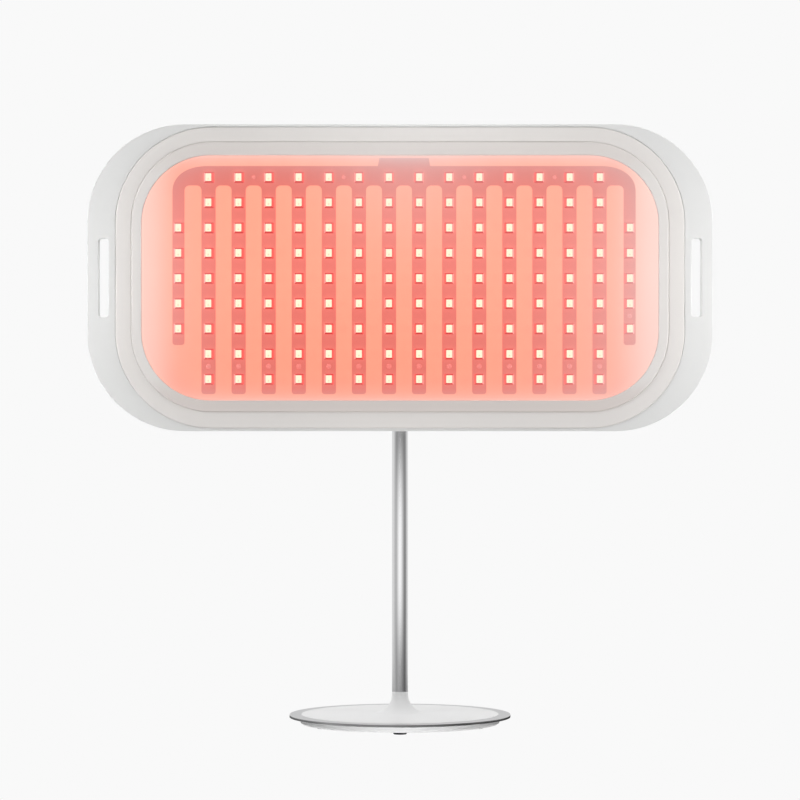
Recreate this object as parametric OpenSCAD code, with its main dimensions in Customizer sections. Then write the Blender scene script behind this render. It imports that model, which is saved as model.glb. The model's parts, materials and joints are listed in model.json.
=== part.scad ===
// Light therapy panel on a round desk stand, in millimetres, +Z up.
// The origin is on the table, under the pole. The lit face looks along -Y.
// The panel swivels and tilts on its head, lifts off its dock, and has a push button behind.

/* [Panel outline] */
// Width of the strap flange, the widest piece
flange_w = 385; // [372:0.5:430]
// Height of the strap flange
flange_h = 189; // [182:0.2:220]
// Corner radius of the strap flange
flange_r = 60; // [40:1:75]
// Thickness of the strap flange
flange_t = 4; // [3:0.25:6]
// Height of the panel's centre above the table
panel_z = 279; // [255:1:330]
// Strap wing left bare on each side of the outer bezel
wing_w = 17.4; // [16:0.05:22]
// Strip of flange left bare above and below the outer bezel
flange_rim = 1.8; // [1:0.1:4]

/* [Strap slots] */
// Width of each strap slot
slot_w = 5; // [4.5:0.1:6]
// Height of each strap slot
slot_h = 48.4; // [30:0.2:70]
// Corner radius of each strap slot
slot_r = 1.8; // [1:0.1:2.2]
// Flange left between its edge and the strap slot's front mouth
slot_edge = 6.6; // [4:0.1:8]
// Lead-in on the slot's outer wall, which opens toward the front
slot_lead = 1.4; // [0.5:0.1:2]

/* [Bezels and window] */
// Visible width of the outer bezel
outer_bezel_w = 9.4; // [8:0.1:12]
// Visible width of the inner bezel beside the window
inner_bezel_w = 6.4; // [6:0.1:9]
// Visible width of the inner bezel above and below the window
inner_bezel_h = 7.8; // [6.4:0.1:9]
// Forward step from each tier of the front to the next
tier_step = 1.2; // [1:0.1:3.5]
// Corner radius of the window opening
window_r = 42.4; // [34:0.2:45]
// How far the window's face lies behind the inner bezel
window_recess = 0.6; // [0.2:0.1:1.2]
// Thickness of the inner bezel's lip over the window's edge
bezel_lip = 1.6; // [1.3:0.1:2]
// Width of the window's edge under the lip
window_land = 4; // [3:0.1:4.4]
// Thickness of the window's edge
window_edge_t = 1.6; // [1.2:0.1:2]
// Thickness of the seal behind the window
seal_t = 1.4; // [0.8:0.1:2]
// Thickness of the inner bezel's keeper behind the outer bezel
keeper_t = 1.6; // [1:0.1:2.2]
// Width of that keeper
keeper_w = 1.5; // [0.8:0.1:2]

/* [Back shell] */
// Distance from the pole's axis to the panel's rear face
panel_gap = 20; // [19:0.25:24]
// Depth of the back shell behind the flange
shell_depth = 5.2; // [4.6:0.1:9]
// Thickness of the back shell's floor
shell_floor = 2; // [1.8:0.1:2.4]
// Thickness of the back shell's side wall, which takes the screws
shell_wall = 6; // [5.6:0.1:7]
// How far the shell's outline lies inside the outer bezel's
shell_inset = 1.6; // [1:0.1:2]
// Sideways spread of the shell screws along the top and bottom
screw_spread_x = 100; // [70:1:110]
// Upright spread of the shell screws along each side
screw_spread_z = 20; // [10:1:28]

/* [Light array] */
// Sideways pitch of the lights
led_pitch_x = 18.58; // [17:0.02:20]
// Upright pitch of the lights
led_pitch_z = 15.58; // [14:0.02:17]
// Sideways shift of the whole array from the panel's centre
array_shift = 2.5; // [0:0.1:3]
// Least strip of reflector left bare at each side of the array
array_side = 13; // [12:0.5:20]
// Least height from the window's edge to the first row of lights
array_top = 12.6; // [12.5:0.1:20]
// Rows without a light at each end of the two side columns
side_skip = 2; // [1:1:3]
// Width of a light's housing
led_w = 5.6; // [4.6:0.1:6.5]
// Height of a light's housing
led_h = 6.6; // [5.4:0.1:7.5]
// Thickness of a light's housing
led_t = 2.4; // [1.6:0.1:3]
// Width of a light's emitting face
face_w = 3.65; // [3:0.05:4.4]
// Height of a light's emitting face
face_h = 4.75; // [4:0.05:5.1]
// Upward shift of the emitting face in its housing
face_shift = -0.1; // [-0.4:0.05:0.5]
// Depth of the pocket that the emitter fills
face_depth = 1.2; // [0.6:0.1:1.3]
// How far the emitter stands out of its housing
face_proud = 0.2; // [0.1:0.05:0.4]

/* [Flex circuit and reflector] */
// Thickness of the flex circuit
flex_t = 0.4; // [0.2:0.05:0.6]
// Width of each main finger
finger_w = 8.75; // [7.6:0.05:11]
// Width of the two side fingers
side_finger_w = 7.4; // [6.8:0.1:9]
// Circuit above the first row of lights
bus_above = 6.9; // [5:0.1:8]
// Circuit below the first row of lights, down to the gaps
bus_below = 5.1; // [4:0.1:6]
// Corner radius of the circuit's two top corners
bus_r = 16; // [10:0.5:18]
// Finger beyond its last light
finger_end = 9.4; // [6:0.1:10.5]
// Side finger beyond its last light
side_finger_end = 10.2; // [6:0.1:12]
// Corner radius at the foot of each finger
finger_r = 1.9; // [0.5:0.1:2.5]
// Corner radius at the top of each gap
gap_r = 3.1; // [1:0.1:3.5]
// Width of the tab on top of the circuit
tab_w = 30.5; // [26:0.5:40]
// Height of the tab
tab_h = 5; // [4:0.1:5.4]
// Diameter of the locating pins' heads on the fingers
pin_head_d = 3.2; // [2.4:0.1:4]
// Diameter of the locating pins' heads on the bus
bus_pin_head_d = 2.4; // [2:0.1:3]
// Diameter of the locating pins' shanks
pin_d = 1.4; // [1:0.1:1.8]
// Height of the locating pins' heads
pin_head_t = 0.8; // [0.4:0.1:1.2]
// Thickness of the reflector tray's floor
reflector_t = 1; // [0.8:0.1:1.4]

/* [Driver pod] */
// Width of the driver pod on the panel's back
pod_w = 124; // [112:1:150]
// Depth of the pod behind the panel
pod_depth = 12; // [11.5:0.1:13]
// Corner radius of the pod
pod_r = 9; // [5:0.5:11]
// Thickness of the pod's side walls
pod_wall = 2; // [1.6:0.1:2.4]
// Thickness of the pod's floor against the panel
pod_floor = 1.5; // [1.2:0.1:2]
// Thickness of the pod's rear cover
pod_cover_t = 1.6; // [1.5:0.1:2]
// Room between the dock socket and the pod
pod_gap = 1.5; // [1:0.1:4]
// Inset of the pod's corner posts from its outline
post_inset = 8; // [7:0.1:9]
// Thickness of the driver board
board_t = 1.5; // [1:0.1:1.6]
// Room in front of the driver board
board_front = 3; // [2.8:0.1:3.2]
// Width of the ribbon tail
tail_w = 22; // [16:0.5:24]
// Thickness of the ribbon tail
tail_t = 0.3; // [0.2:0.05:0.4]
// Drop from the top of the circuit's tab to the ribbon tail
tail_inset = 2; // [1.5:0.1:2.5]
// Height of the ribbon connector, across the ribbon
connector_h = 3.6; // [3:0.1:4]
// Thickness of the ribbon connector
connector_t = 2.4; // [2:0.1:2.6]
// Connector body beyond each edge of the ribbon
connector_end = 2.5; // [1.5:0.1:4]
// Wall of the posts around the pod screws' heads
post_wall = 1.3; // [1:0.1:1.5]

/* [Button, socket and status light] */
// Diameter of the power button
button_d = 12; // [9:0.5:14]
// How far the button stands out of the pod cover
button_proud = 1.2; // [1:0.1:1.8]
// Width of the lip that keeps the button in the cover
button_lip = 1.2; // [0.8:0.1:1.5]
// Thickness of that lip
button_lip_t = 0.8; // [0.6:0.1:0.9]
// Travel of the button
button_travel = 0.8; // [0.5:0.1:0.8]
// Width of the square switch body
switch_w = 6.4; // [6:0.1:8]
// Diameter of the button's stem
stem_d = 2.6; // [2:0.1:3]
// Width of the power socket's shell
socket_w = 9; // [8.4:0.1:9.6]
// Thickness of the power socket's shell
socket_t = 3.2; // [3:0.1:3.4]
// Length of the power socket's shell
socket_l = 7.4; // [6.5:0.1:9]
// Sideways place of the power socket
socket_x = 36; // [28:1:38]
// Diameter of the status light
status_d = 2.4; // [1.6:0.1:3]
// Length of the status light's pipe inside the cover
status_inner = 2; // [1:0.1:2.4]
// Sideways place of the status light
status_x = 15; // [13:0.5:22]

/* [Dock] */
// Width of the dock tongue's plate
tongue_w = 40; // [34:0.5:46]
// Height of the dock tongue's plate
tongue_h = 38; // [30:0.5:40]
// Thickness of the dock tongue's plate
tongue_t = 3; // [2.4:0.1:3.4]
// How far the tongue's plate reaches below the tilt axis
tongue_drop = 12; // [9:0.25:12]
// Corner radius of the tongue's plate
tongue_r = 3; // [1:0.25:5]
// Overlap of the socket's lips behind the tongue
lip_w = 6; // [4:0.25:8]
// Thickness of the socket's lips
lip_t = 2.5; // [2:0.1:2.6]
// Thickness of the socket's floor
dock_floor = 2.2; // [2:0.1:2.6]
// Thickness of the socket's side walls
dock_wall = 4; // [3:0.25:6]
// Height of the tongue's neck
neck_h = 10; // [6:0.25:11]

/* [Head] */
// Height of the panel's centre above the tilt axis
tilt_drop = 17; // [15:0.5:20]
// Diameter of the tilt knuckle
knuckle_d = 14; // [11:0.5:15]
// Width of the tilt knuckle
knuckle_w = 11.4; // [8:0.2:14]
// Thickness of each fork cheek
cheek_t = 4; // [3:0.25:6]
// Diameter of the fork cheeks' rounded tops
cheek_d = 16; // [13:0.5:16.5]
// Thickness of each friction washer
washer_t = 0.4; // [0.3:0.05:0.8]
// Diameter of the friction washers
washer_d = 12; // [9:0.5:13]
// Diameter of the tilt bolt
tilt_bolt_d = 5; // [4:0.25:6]
// Diameter of the tilt bolt's head
tilt_head_d = 9; // [8:0.25:10]
// Height of the tilt bolt's head and of its nut
tilt_head_t = 3.4; // [2.4:0.1:4]
// Drop from the tilt axis to the top of the sleeve
sleeve_drop = 22; // [20:0.5:26]
// Length of the sleeve on the pole
sleeve_l = 28; // [22:0.5:36]
// Outer diameter of the sleeve
sleeve_d = 18; // [16.5:0.25:19]
// Thickness of the sleeve's closed top
sleeve_cap = 3.5; // [2.5:0.25:5]
// Wall of the swivel bush
bush_t = 1.5; // [1:0.1:1.8]
// Diameter of the friction screw's knob
knob_d = 11; // [8:0.5:14]
// Length of the friction screw's knob
knob_l = 7; // [5:0.5:10]
// Number of flutes around the knob
knob_flutes = 12; // [8:1:16]
// Diameter of each flute
knob_flute_d = 1.8; // [1:0.1:2]
// Diameter of the friction screw
friction_screw_d = 4; // [3:0.25:5]

/* [Pole] */
// Outer diameter of the pole
pole_d = 10; // [9.5:0.1:11]
// Wall of the pole's tube
pole_wall = 1; // [0.8:0.1:1.1]
// Length of the plug in the pole's foot
plug_l = 20; // [12:0.5:40]
// Length of the plug in the pole's top
top_plug_l = 8; // [4:0.5:15]
// Thickness of the top plug's cap
top_plug_cap = 0.6; // [0.4:0.1:1]
// Diameter of the stop ring under the sleeve
stop_d = 16; // [14:0.25:18]
// Height of the stop ring
stop_h = 6; // [4:0.25:10]

/* [Base] */
// Diameter of the base plate
base_d = 138; // [128:1:180]
// Thickness of the base plate
plate_t = 1.7; // [1.6:0.1:3]
// Bevel around the base plate's rim
rim_bevel = 0.4; // [0.2:0.05:0.6]
// Bare ring of plate around the cover
ring_w = 7.5; // [5:0.25:12]
// Thickness of the cover
cover_t = 1; // [0.8:0.1:2]
// Thickness of the cover's outer edge
cover_edge = 0.3; // [0.2:0.05:0.7]
// Width of the slope from the cover's face down to that edge
cover_slope = 14; // [6:0.5:20]
// Height of the collar's top above the plate
collar_h = 13.9; // [13.5:0.1:25]
// Radius of the flare from cover to collar
flare_r = 11.5; // [6:0.25:12]
// Inset of the tray's wall from the plate's rim
tray_inset = 6.8; // [4:0.1:9]
// Height of the tray under the plate
tray_h = 4; // [3.8:0.1:8]
// Thickness of the tray's floor
tray_floor = 1.2; // [1:0.1:1.3]
// Thickness of the tray's wall
tray_wall = 2.2; // [1.5:0.1:4]
// Bevel around the tray's lower edge
tray_bevel = 1; // [0.4:0.1:1]
// Thickness of the ballast disc
ballast_t = 2.5; // [1.6:0.1:2.6]
// Diameter of the clear well around the pole bolt
well_d = 19; // [18:0.5:26]
// Diameter of the pole bolt
pole_bolt_d = 5.6; // [4:0.1:6]
// Diameter of the pole bolt's head
pole_bolt_head_d = 10; // [9:0.25:11]
// Height of the pole bolt's head
pole_bolt_head_t = 2.4; // [1.6:0.1:2.4]
// Diameter of the washer under the pole bolt's head
pole_washer_d = 16; // [13:0.5:17]
// Thickness of that washer
pole_washer_t = 1.2; // [0.8:0.1:1.4]
// Number of feet, one of them in front
foot_count = 5; // [3:1:8]
// Diameter of each foot
foot_d = 8.2; // [6:0.1:12]
// Height of each foot under the tray
foot_h = 1.9; // [1.5:0.1:4]
// Diameter of the peg that holds each foot
peg_d = 3; // [2:0.1:4]
// Radius of the circle that the feet stand on
foot_ring = 50; // [42:0.5:53]
// Radius of the circle of base screws
base_screw_ring = 32; // [20:0.5:40]
// Number of base screws
base_screw_count = 3; // [3:1:6]

/* [Fasteners and clearances] */
// Diameter of the small screws' shanks
screw_d = 2.4; // [2:0.1:2.6]
// Diameter of the small screws' heads
screw_head_d = 4.2; // [3.8:0.1:4.6]
// Height of the small screws' heads
screw_head_t = 1.2; // [0.8:0.1:1.3]
// Width across the drive recess in each small screw's head
screw_drive_d = 1.6; // [1:0.1:2]
// Radial clearance of fixed fits
fit = 0.05; // [0.03:0.01:0.1]
// Radial clearance of the running fits
run = 0.03; // [0.02:0.01:0.06]
// Clearance between sliding and moulded pieces
slide = 0.3; // [0.2:0.05:0.35]

/* [Hidden] */
$fn = 64;
// Overshoot of cutting shapes past the faces that they cut
cut = 1;

// Outlines of the panel's tiers, each as width, height and corner radius
flange_size = [flange_w, flange_h, flange_r];
outer_size = [
    flange_w - 2 * wing_w, flange_h - 2 * flange_rim,
    window_r + (inner_bezel_w + inner_bezel_h) / 2 + outer_bezel_w
];
inner_size = grown(outer_size, -outer_bezel_w);
opening_size = [inner_size[0] - 2 * inner_bezel_w, inner_size[1] - 2 * inner_bezel_h, window_r];
sheet_size = grown(opening_size, window_land);
shell_size = grown(outer_size, -shell_inset);
cavity_size = grown(shell_size, -shell_wall);
keeper_size = grown(inner_size, keeper_w);

// Depths of the panel's layers in front of the pole's axis
shell_back_w = panel_gap;
cavity_w = shell_back_w + shell_floor;
flange_back_w = shell_back_w + shell_depth;
flange_front_w = flange_back_w + flange_t;
outer_front_w = flange_front_w + tier_step;
inner_front_w = outer_front_w + tier_step;
lip_back_w = inner_front_w - bezel_lip;
window_front_w = inner_front_w - window_recess;
window_back_w = lip_back_w - window_edge_t;
seal_back_w = window_back_w - seal_t;
keeper_back_w = flange_front_w - keeper_t;
flex_back_w = cavity_w + reflector_t;
flex_front_w = flex_back_w + flex_t;
led_front_w = flex_front_w + led_t;

// Light array, with the rows and columns that the window has room for
columns = floor((opening_size[0] - 2 * array_side - side_finger_w) / led_pitch_x) + 1;
rows = floor((opening_size[1] - 2 * array_top) / led_pitch_z) + 1;
function column_x(i) = (i - (columns - 1) / 2) * led_pitch_x + array_shift;
function row_y(j) = ((rows - 1) / 2 - j) * led_pitch_z;
function is_side(i) = i == 0 || i == columns - 1;
function has_light(i, j) = !is_side(i) || (j >= side_skip && j < rows - side_skip);
led_sites = [
    for (i = [0:columns - 1], j = [0:rows - 1]) if (has_light(i, j)) [column_x(i), row_y(j)]
];
bus_top = row_y(0) + bus_above;
bus_bottom = row_y(0) - bus_below;
tab_top = bus_top + tab_h;
side_finger_foot = row_y(rows - 1 - side_skip) - side_finger_end;
finger_foot = row_y(rows - 1) - finger_end;
// Pins sit midway between the last two lights of each main finger
finger_pin_sites = [for (i = [1:columns - 2]) [column_x(i), row_y(rows - 1.5)]];
side_pin_site = [column_x(columns - 1), row_y(rows - 1.5 - side_skip)];
// Columns, or places between two, that the pins along the bus stand on
bus_pin_columns = [2.5, 5.5, columns - 6.5, columns - 3.5];
bus_pin_sites = [for (i = bus_pin_columns) [column_x(i), row_y(0)]];
pin_sites = concat(finger_pin_sites, [side_pin_site], bus_pin_sites);

// Head, measured down from the tilt axis
tilt_z = panel_z - tilt_drop;
sleeve_top = tilt_z - sleeve_drop;
sleeve_foot = sleeve_top - sleeve_l;
sleeve_roof = sleeve_top - sleeve_cap;
fork_gap = knuckle_w + 2 * (washer_t + 2 * fit);
fork_w = fork_gap + 2 * cheek_t;
bush_d = pole_d + 2 * run + 2 * bush_t;
friction_screw_z = sleeve_foot + sleeve_l / 2;
// Clear room between the knuckle and the bridge of the fork
fork_room = 2;
bridge_top = tilt_z - knuckle_d / 2 - fork_room;

// Pole and base, measured up from the table
tray_z = foot_h;
plate_z = tray_z + tray_h;
plate_top = plate_z + plate_t;
collar_top = plate_top + collar_h;
pole_top = sleeve_roof - top_plug_cap - slide;
// Plate left above each base screw, and the screw's reach into the plate
base_screw_cover = 0.5;
base_screw_bite = plate_t - base_screw_cover;
pole_bore = pole_d - 2 * pole_wall;
cover_d = base_d - 2 * ring_w;
tray_d = base_d - 2 * tray_inset;
bolt_seat = plate_z - pole_washer_t;
plug_top = collar_top + plug_l;

// Dock, in depths in front of the pole's axis
dock_front_w = panel_gap;
tongue_front_w = dock_front_w - dock_floor - slide;
tongue_back_w = tongue_front_w - tongue_t;
lip_front_w = tongue_back_w - slide;
lip_back_edge_w = lip_front_w - lip_t;
tongue_foot = tilt_z - tongue_drop;
tongue_top = tongue_foot + tongue_h;
dock_top = tongue_top + fit + dock_wall;
dock_outer_w = tongue_w + 2 * slide + 2 * dock_wall;
dock_height = dock_top - tongue_foot;
dock_y = tongue_foot - panel_z;
// Inset of the dock screws from the channel's sides and ends
dock_screw_inset = 7;
dock_screw_sites = [
    for (x = [-1, 1], y = [dock_screw_inset, dock_height - dock_wall - dock_screw_inset])
        [x * (tongue_w / 2 - dock_screw_inset), dock_y + y]
];

// Driver pod, from the dock socket up to the circuit's tab
tail_y = tab_top - tail_inset;
// Room between the ribbon connector and the pod's wall
connector_room = 0.8;
pod_bottom = dock_top - panel_z + pod_gap;
pod_top = tail_y + connector_h / 2 + connector_room + pod_wall;
pod_h = pod_top - pod_bottom;
pod_y = (pod_top + pod_bottom) / 2;
pod_size = [pod_w, pod_h, pod_r];
pod_inner = grown(pod_size, -pod_wall);
board_size = grown(pod_inner, -slide);
pod_back_w = panel_gap - pod_depth;
cover_inner_w = pod_back_w + pod_cover_t;
pod_floor_w = panel_gap - pod_floor;
board_front_w = pod_floor_w - board_front;
board_back_w = board_front_w - board_t;
post_d = screw_head_d + 2 * post_wall;
post_sites = [
    for (x = [-1, 1], y = [-1, 1])
        [x * (pod_w / 2 - post_inset), pod_y + y * (pod_h / 2 - post_inset)]
];
pod_floor_screw_sites = [for (x = [-1, 1], y = [-1, 1]) [x * pod_w / 4, pod_y + y * pod_h / 4]];
// Slot for the ribbon tail through floors and reflector, with room at its ends and sides
tail_end_room = 1;
tail_side_room = 0.5;
tail_slot = [tail_w + 2 * tail_end_room, tail_t + 2 * tail_side_room];
tail_site = [array_shift, tail_y];
connector_size = [tail_w + 2 * connector_end, connector_h];
// Floor of the connector, which the ribbon tail stands on
connector_floor = 0.8;
tail_back_w = board_front_w + connector_floor;
// Chips as sideways place, upward place, width, height and thickness on the board's rear face
chips = [
    [-44, 10, 9, 9, 1.2], [-28, 12, 7, 5, 1.6], [-44, -8, 8, 8, 2.8], [-28, -8, 8, 8, 2.8],
    [-18, 12, 4, 6, 1], [30, 10, 6, 5, 1.2], [44, 8, 5, 9, 2]
];

// Button and switch, in depths in front of the pole's axis
button_lip_d = button_d + 2 * button_lip;
button_lip_w = cover_inner_w + fit;
switch_back_w = button_lip_w + button_lip_t + button_travel + fit;
stem_tip_w = board_back_w - button_travel - slide;
button_back_w = pod_back_w - button_proud;
button_site = [0, pod_y];
status_site = [status_x, pod_y];
// Length of the light pipe from inside the cover to its outer face
status_l = pod_cover_t + status_inner;
// Wall of the power socket's shell, and the thickness of its closed end
socket_wall = 0.35;
socket_end_t = 1;
// Contact tongue in the power socket, with room at its sides
socket_tongue_t = 0.7;
socket_tongue_side = 1.2;
socket_tongue = [socket_w - 2 * socket_tongue_side, socket_tongue_t];
socket_mouth = pod_bottom;
socket_mid_w = board_back_w - socket_t / 2;
// Collar of pod wall around the power socket
socket_clear = 0.2;

// Shell screws, in the middle of the shell's wall
shell_screw_x = shell_size[0] / 2 - shell_wall / 2;
shell_screw_y = shell_size[1] / 2 - shell_wall / 2;
shell_screw_sites = concat(
    [for (x = [-1, 0, 1], y = [-1, 1]) [x * screw_spread_x, y * shell_screw_y]],
    [for (x = [-1, 1], y = [-1, 1]) [x * shell_screw_x, y * screw_spread_z]]
);
// Depth of each screw's blind hole beyond the face that it bites into
bite = 1.5;
// Outer bezel left in front of each shell screw, and the screw's reach into the bezel
bezel_cover = 0.4;
bezel_bite = tier_step - bezel_cover;
// Depth that a screw's head is sunk below its face, and the depth of its counterbore
head_sink = 0.2;
sink = screw_head_t + head_sink;

// Outline grown by a margin on every side, with its corner radius
function grown(size, margin) = [size[0] + 2 * margin, size[1] + 2 * margin, size[2] + margin];

// Rectangle with round corners, about the origin
module rounded_rect(size) {
    square([size[0] - 2 * size[2], size[1]], center = true);
    square([size[0], size[1] - 2 * size[2]], center = true);
    for (x = [-1, 1], y = [-1, 1])
        translate([x * (size[0] / 2 - size[2]), y * (size[1] / 2 - size[2])]) circle(size[2]);
}

// Places a drawing on the panel: x right, y up from its centre, z toward the viewer from depth w
module on_panel(w) {
    translate([0, -w, panel_z]) rotate([90, 0, 0]) children();
}

// Slab between two depths of the panel
module layer(back_w, front_w) {
    on_panel(back_w) linear_extrude(front_w - back_w) children();
}

// Solid cylinder through the panel between two depths
module panel_rod(site, d, back_w, front_w) {
    on_panel(back_w) translate(site) cylinder(d = d, h = front_w - back_w);
}

// Holes at a list of sites between two depths
module panel_holes(sites, d, back_w, front_w) {
    for (site = sites) panel_rod(site, d, back_w, front_w);
}

// Screw driven from behind, toward the viewer, with its head's outer face at a depth
module panel_screw(site, head_w, tip_w) {
    difference() {
        union() {
            panel_rod(site, screw_head_d, head_w, head_w + screw_head_t);
            panel_rod(site, screw_d, head_w + screw_head_t - fit, tip_w);
        }
        on_panel(head_w - cut) translate(site)
            cylinder(d = screw_drive_d, h = cut + screw_head_t / 2, $fn = 6);
    }
}

// Sleeve shape: a tube about Z
module tube(outer_d, inner_d, h) {
    difference() {
        cylinder(d = outer_d, h = h);
        translate([0, 0, -cut]) cylinder(d = inner_d, h = h + 2 * cut);
    }
}

// Cylinder along X, centred on the tilt axis
module tilt_rod(d, x0, x1) {
    translate([x0, 0, tilt_z]) rotate([0, 90, 0]) cylinder(d = d, h = x1 - x0);
}

// Turned copies about the pole, the first one in front
module around_base(count, radius) {
    for (i = [0:count - 1]) rotate(i * 360 / count - 90) translate([radius, 0, 0]) children();
}

// Base

module base_plate() {
    color("silver") difference() {
        rotate_extrude() translate([0, plate_z]) polygon([
            [0, 0], [base_d / 2 - rim_bevel, 0], [base_d / 2, rim_bevel],
            [base_d / 2, plate_t - rim_bevel], [base_d / 2 - rim_bevel, plate_t], [0, plate_t]
        ]);
        translate([0, 0, plate_z - cut]) cylinder(d = pole_bolt_d + 2 * fit, h = plate_t + 2 * cut);
        around_base(base_screw_count, base_screw_ring) translate([0, 0, plate_z - cut])
            cylinder(d = screw_d + 2 * fit, h = cut + base_screw_bite + fit);
    }
}

module base_cover() {
    color("whitesmoke") rotate_extrude() difference() {
        union() {
            translate([0, plate_top]) polygon([
                [0, 0], [cover_d / 2, 0], [cover_d / 2, cover_edge],
                [cover_d / 2 - cover_slope, cover_t], [0, cover_t]
            ]);
            translate([0, plate_top]) square([pole_d / 2, collar_h]);
            translate([0, plate_top + cover_t]) difference() {
                square([pole_d / 2 + flare_r, flare_r]);
                translate([pole_d / 2 + flare_r, flare_r]) circle(flare_r);
            }
        }
        translate([0, plate_top - cut]) square([pole_bolt_d / 2 + fit, collar_h + 2 * cut]);
    }
}

module base_tray() {
    color("whitesmoke") difference() {
        rotate_extrude() translate([0, tray_z]) polygon([
            [0, 0], [tray_d / 2 - tray_bevel, 0], [tray_d / 2, tray_bevel],
            [tray_d / 2, tray_h], [0, tray_h]
        ]);
        translate([0, 0, tray_z + tray_floor]) cylinder(d = tray_d - 2 * tray_wall, h = tray_h);
        translate([0, 0, tray_z - cut]) cylinder(d = well_d, h = tray_h + 2 * cut);
        around_base(foot_count, foot_ring) translate([0, 0, tray_z - cut])
            cylinder(d = peg_d + 2 * fit, h = tray_floor + 2 * cut);
        around_base(base_screw_count, base_screw_ring) translate([0, 0, tray_z - cut])
            cylinder(d = screw_d + 2 * fit, h = tray_floor + 2 * cut);
    }
}

module ballast_disc() {
    color("dimgray") difference() {
        translate([0, 0, tray_z + tray_floor])
            cylinder(d = tray_d - 2 * tray_wall - 2 * slide, h = ballast_t);
        translate([0, 0, tray_z]) cylinder(d = well_d, h = tray_h);
        around_base(base_screw_count, base_screw_ring) translate([0, 0, tray_z])
            cylinder(d = screw_d + 2 * fit, h = tray_h);
    }
}

module rubber_feet() {
    color("black") around_base(foot_count, foot_ring) {
        cylinder(d = foot_d, h = foot_h);
        cylinder(d = peg_d, h = foot_h + tray_floor - fit);
    }
}

module base_screws() {
    color("gray") around_base(base_screw_count, base_screw_ring) difference() {
        union() {
            translate([0, 0, tray_z - screw_head_t]) cylinder(d = screw_head_d, h = screw_head_t);
            translate([0, 0, tray_z - fit]) cylinder(d = screw_d, h = tray_h + base_screw_bite + fit);
        }
        translate([0, 0, tray_z - screw_head_t - cut])
            cylinder(d = screw_drive_d, h = cut + screw_head_t / 2, $fn = 6);
    }
}

// Pole

module pole() {
    color("silver") translate([0, 0, collar_top]) tube(pole_d, pole_bore, pole_top - collar_top);
}

module pole_plug() {
    color("dimgray") translate([0, 0, collar_top])
        tube(pole_bore - 2 * fit, pole_bolt_d + 2 * fit, plug_l);
}

module pole_bolt() {
    color("gray") difference() {
        union() {
            translate([0, 0, bolt_seat - pole_bolt_head_t])
                cylinder(d = pole_bolt_head_d, h = pole_bolt_head_t);
            translate([0, 0, bolt_seat - fit]) cylinder(d = pole_bolt_d, h = plug_top - bolt_seat);
        }
        translate([0, 0, bolt_seat - pole_bolt_head_t - cut])
            cylinder(d = pole_bolt_d, h = cut + pole_bolt_head_t / 2, $fn = 6);
    }
}

module pole_washer() {
    color("silver") translate([0, 0, bolt_seat])
        tube(pole_washer_d, pole_bolt_d + 2 * fit, pole_washer_t);
}

module pole_top_plug() {
    color("dimgray") {
        translate([0, 0, pole_top - top_plug_l])
            cylinder(d = pole_bore - 2 * fit, h = top_plug_l + fit);
        translate([0, 0, pole_top]) cylinder(d = pole_d - 2 * fit, h = top_plug_cap);
    }
}

module stop_ring() {
    color("gray") translate([0, 0, sleeve_foot - fit - stop_h])
        tube(stop_d, pole_d + 2 * fit, stop_h);
}

// Head

module swivel_head() {
    color("lightgray") difference() {
        union() {
            translate([0, 0, sleeve_foot]) cylinder(d = sleeve_d, h = sleeve_l);
            translate([-fork_w / 2, -cheek_d / 2, sleeve_top - sleeve_cap])
                cube([fork_w, cheek_d, tilt_z - sleeve_top + sleeve_cap]);
            tilt_rod(cheek_d, -fork_w / 2, fork_w / 2);
        }
        translate([-fork_gap / 2, -cheek_d / 2 - cut, bridge_top])
            cube([fork_gap, cheek_d + 2 * cut, tilt_z - bridge_top + cheek_d]);
        translate([0, 0, sleeve_foot - cut])
            cylinder(d = bush_d + 2 * fit, h = sleeve_roof - sleeve_foot + cut);
        tilt_rod(tilt_bolt_d + 2 * fit, -fork_w, fork_w);
        translate([0, 0, friction_screw_z]) rotate([-90, 0, 0])
            cylinder(d = friction_screw_d + 2 * fit, h = sleeve_d);
    }
}

module swivel_bush() {
    color("white") translate([0, 0, sleeve_foot])
        tube(bush_d, pole_d + 2 * run, pole_top - sleeve_foot);
}

module friction_screw() {
    color("dimgray") translate([0, 0, friction_screw_z]) rotate([-90, 0, 0]) {
        translate([0, 0, bush_d / 2 + fit])
            cylinder(d = friction_screw_d, h = sleeve_d / 2 - bush_d / 2 + slide + cut);
        translate([0, 0, sleeve_d / 2 + slide]) difference() {
            cylinder(d = knob_d, h = knob_l);
            for (i = [0:knob_flutes - 1]) rotate(i * 360 / knob_flutes)
                translate([knob_d / 2 + knob_flute_d / 3, 0, -cut])
                    cylinder(d = knob_flute_d, h = knob_l + 2 * cut);
        }
    }
}

module tilt_bolt() {
    color("gray") difference() {
        union() {
            tilt_rod(tilt_bolt_d, -fork_w / 2 - tilt_head_t, fork_w / 2 + fit);
            tilt_rod(tilt_head_d, fork_w / 2, fork_w / 2 + tilt_head_t);
        }
        translate([fork_w / 2 + tilt_head_t / 2, 0, tilt_z]) rotate([0, 90, 0])
            cylinder(d = tilt_bolt_d, h = tilt_head_t, $fn = 6);
    }
}

module tilt_nut() {
    color("gray") translate([-fork_w / 2 - tilt_head_t, 0, tilt_z]) rotate([0, 90, 0]) difference() {
        cylinder(d = tilt_head_d, h = tilt_head_t, $fn = 6);
        translate([0, 0, -cut]) cylinder(d = tilt_bolt_d + 2 * fit, h = tilt_head_t + 2 * cut);
    }
}

module friction_washers() {
    color("goldenrod") for (side = [0, 1]) mirror([side, 0, 0]) difference() {
        tilt_rod(washer_d, knuckle_w / 2 + fit, knuckle_w / 2 + fit + washer_t);
        tilt_rod(tilt_bolt_d + 2 * fit, 0, fork_w);
    }
}

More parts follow.
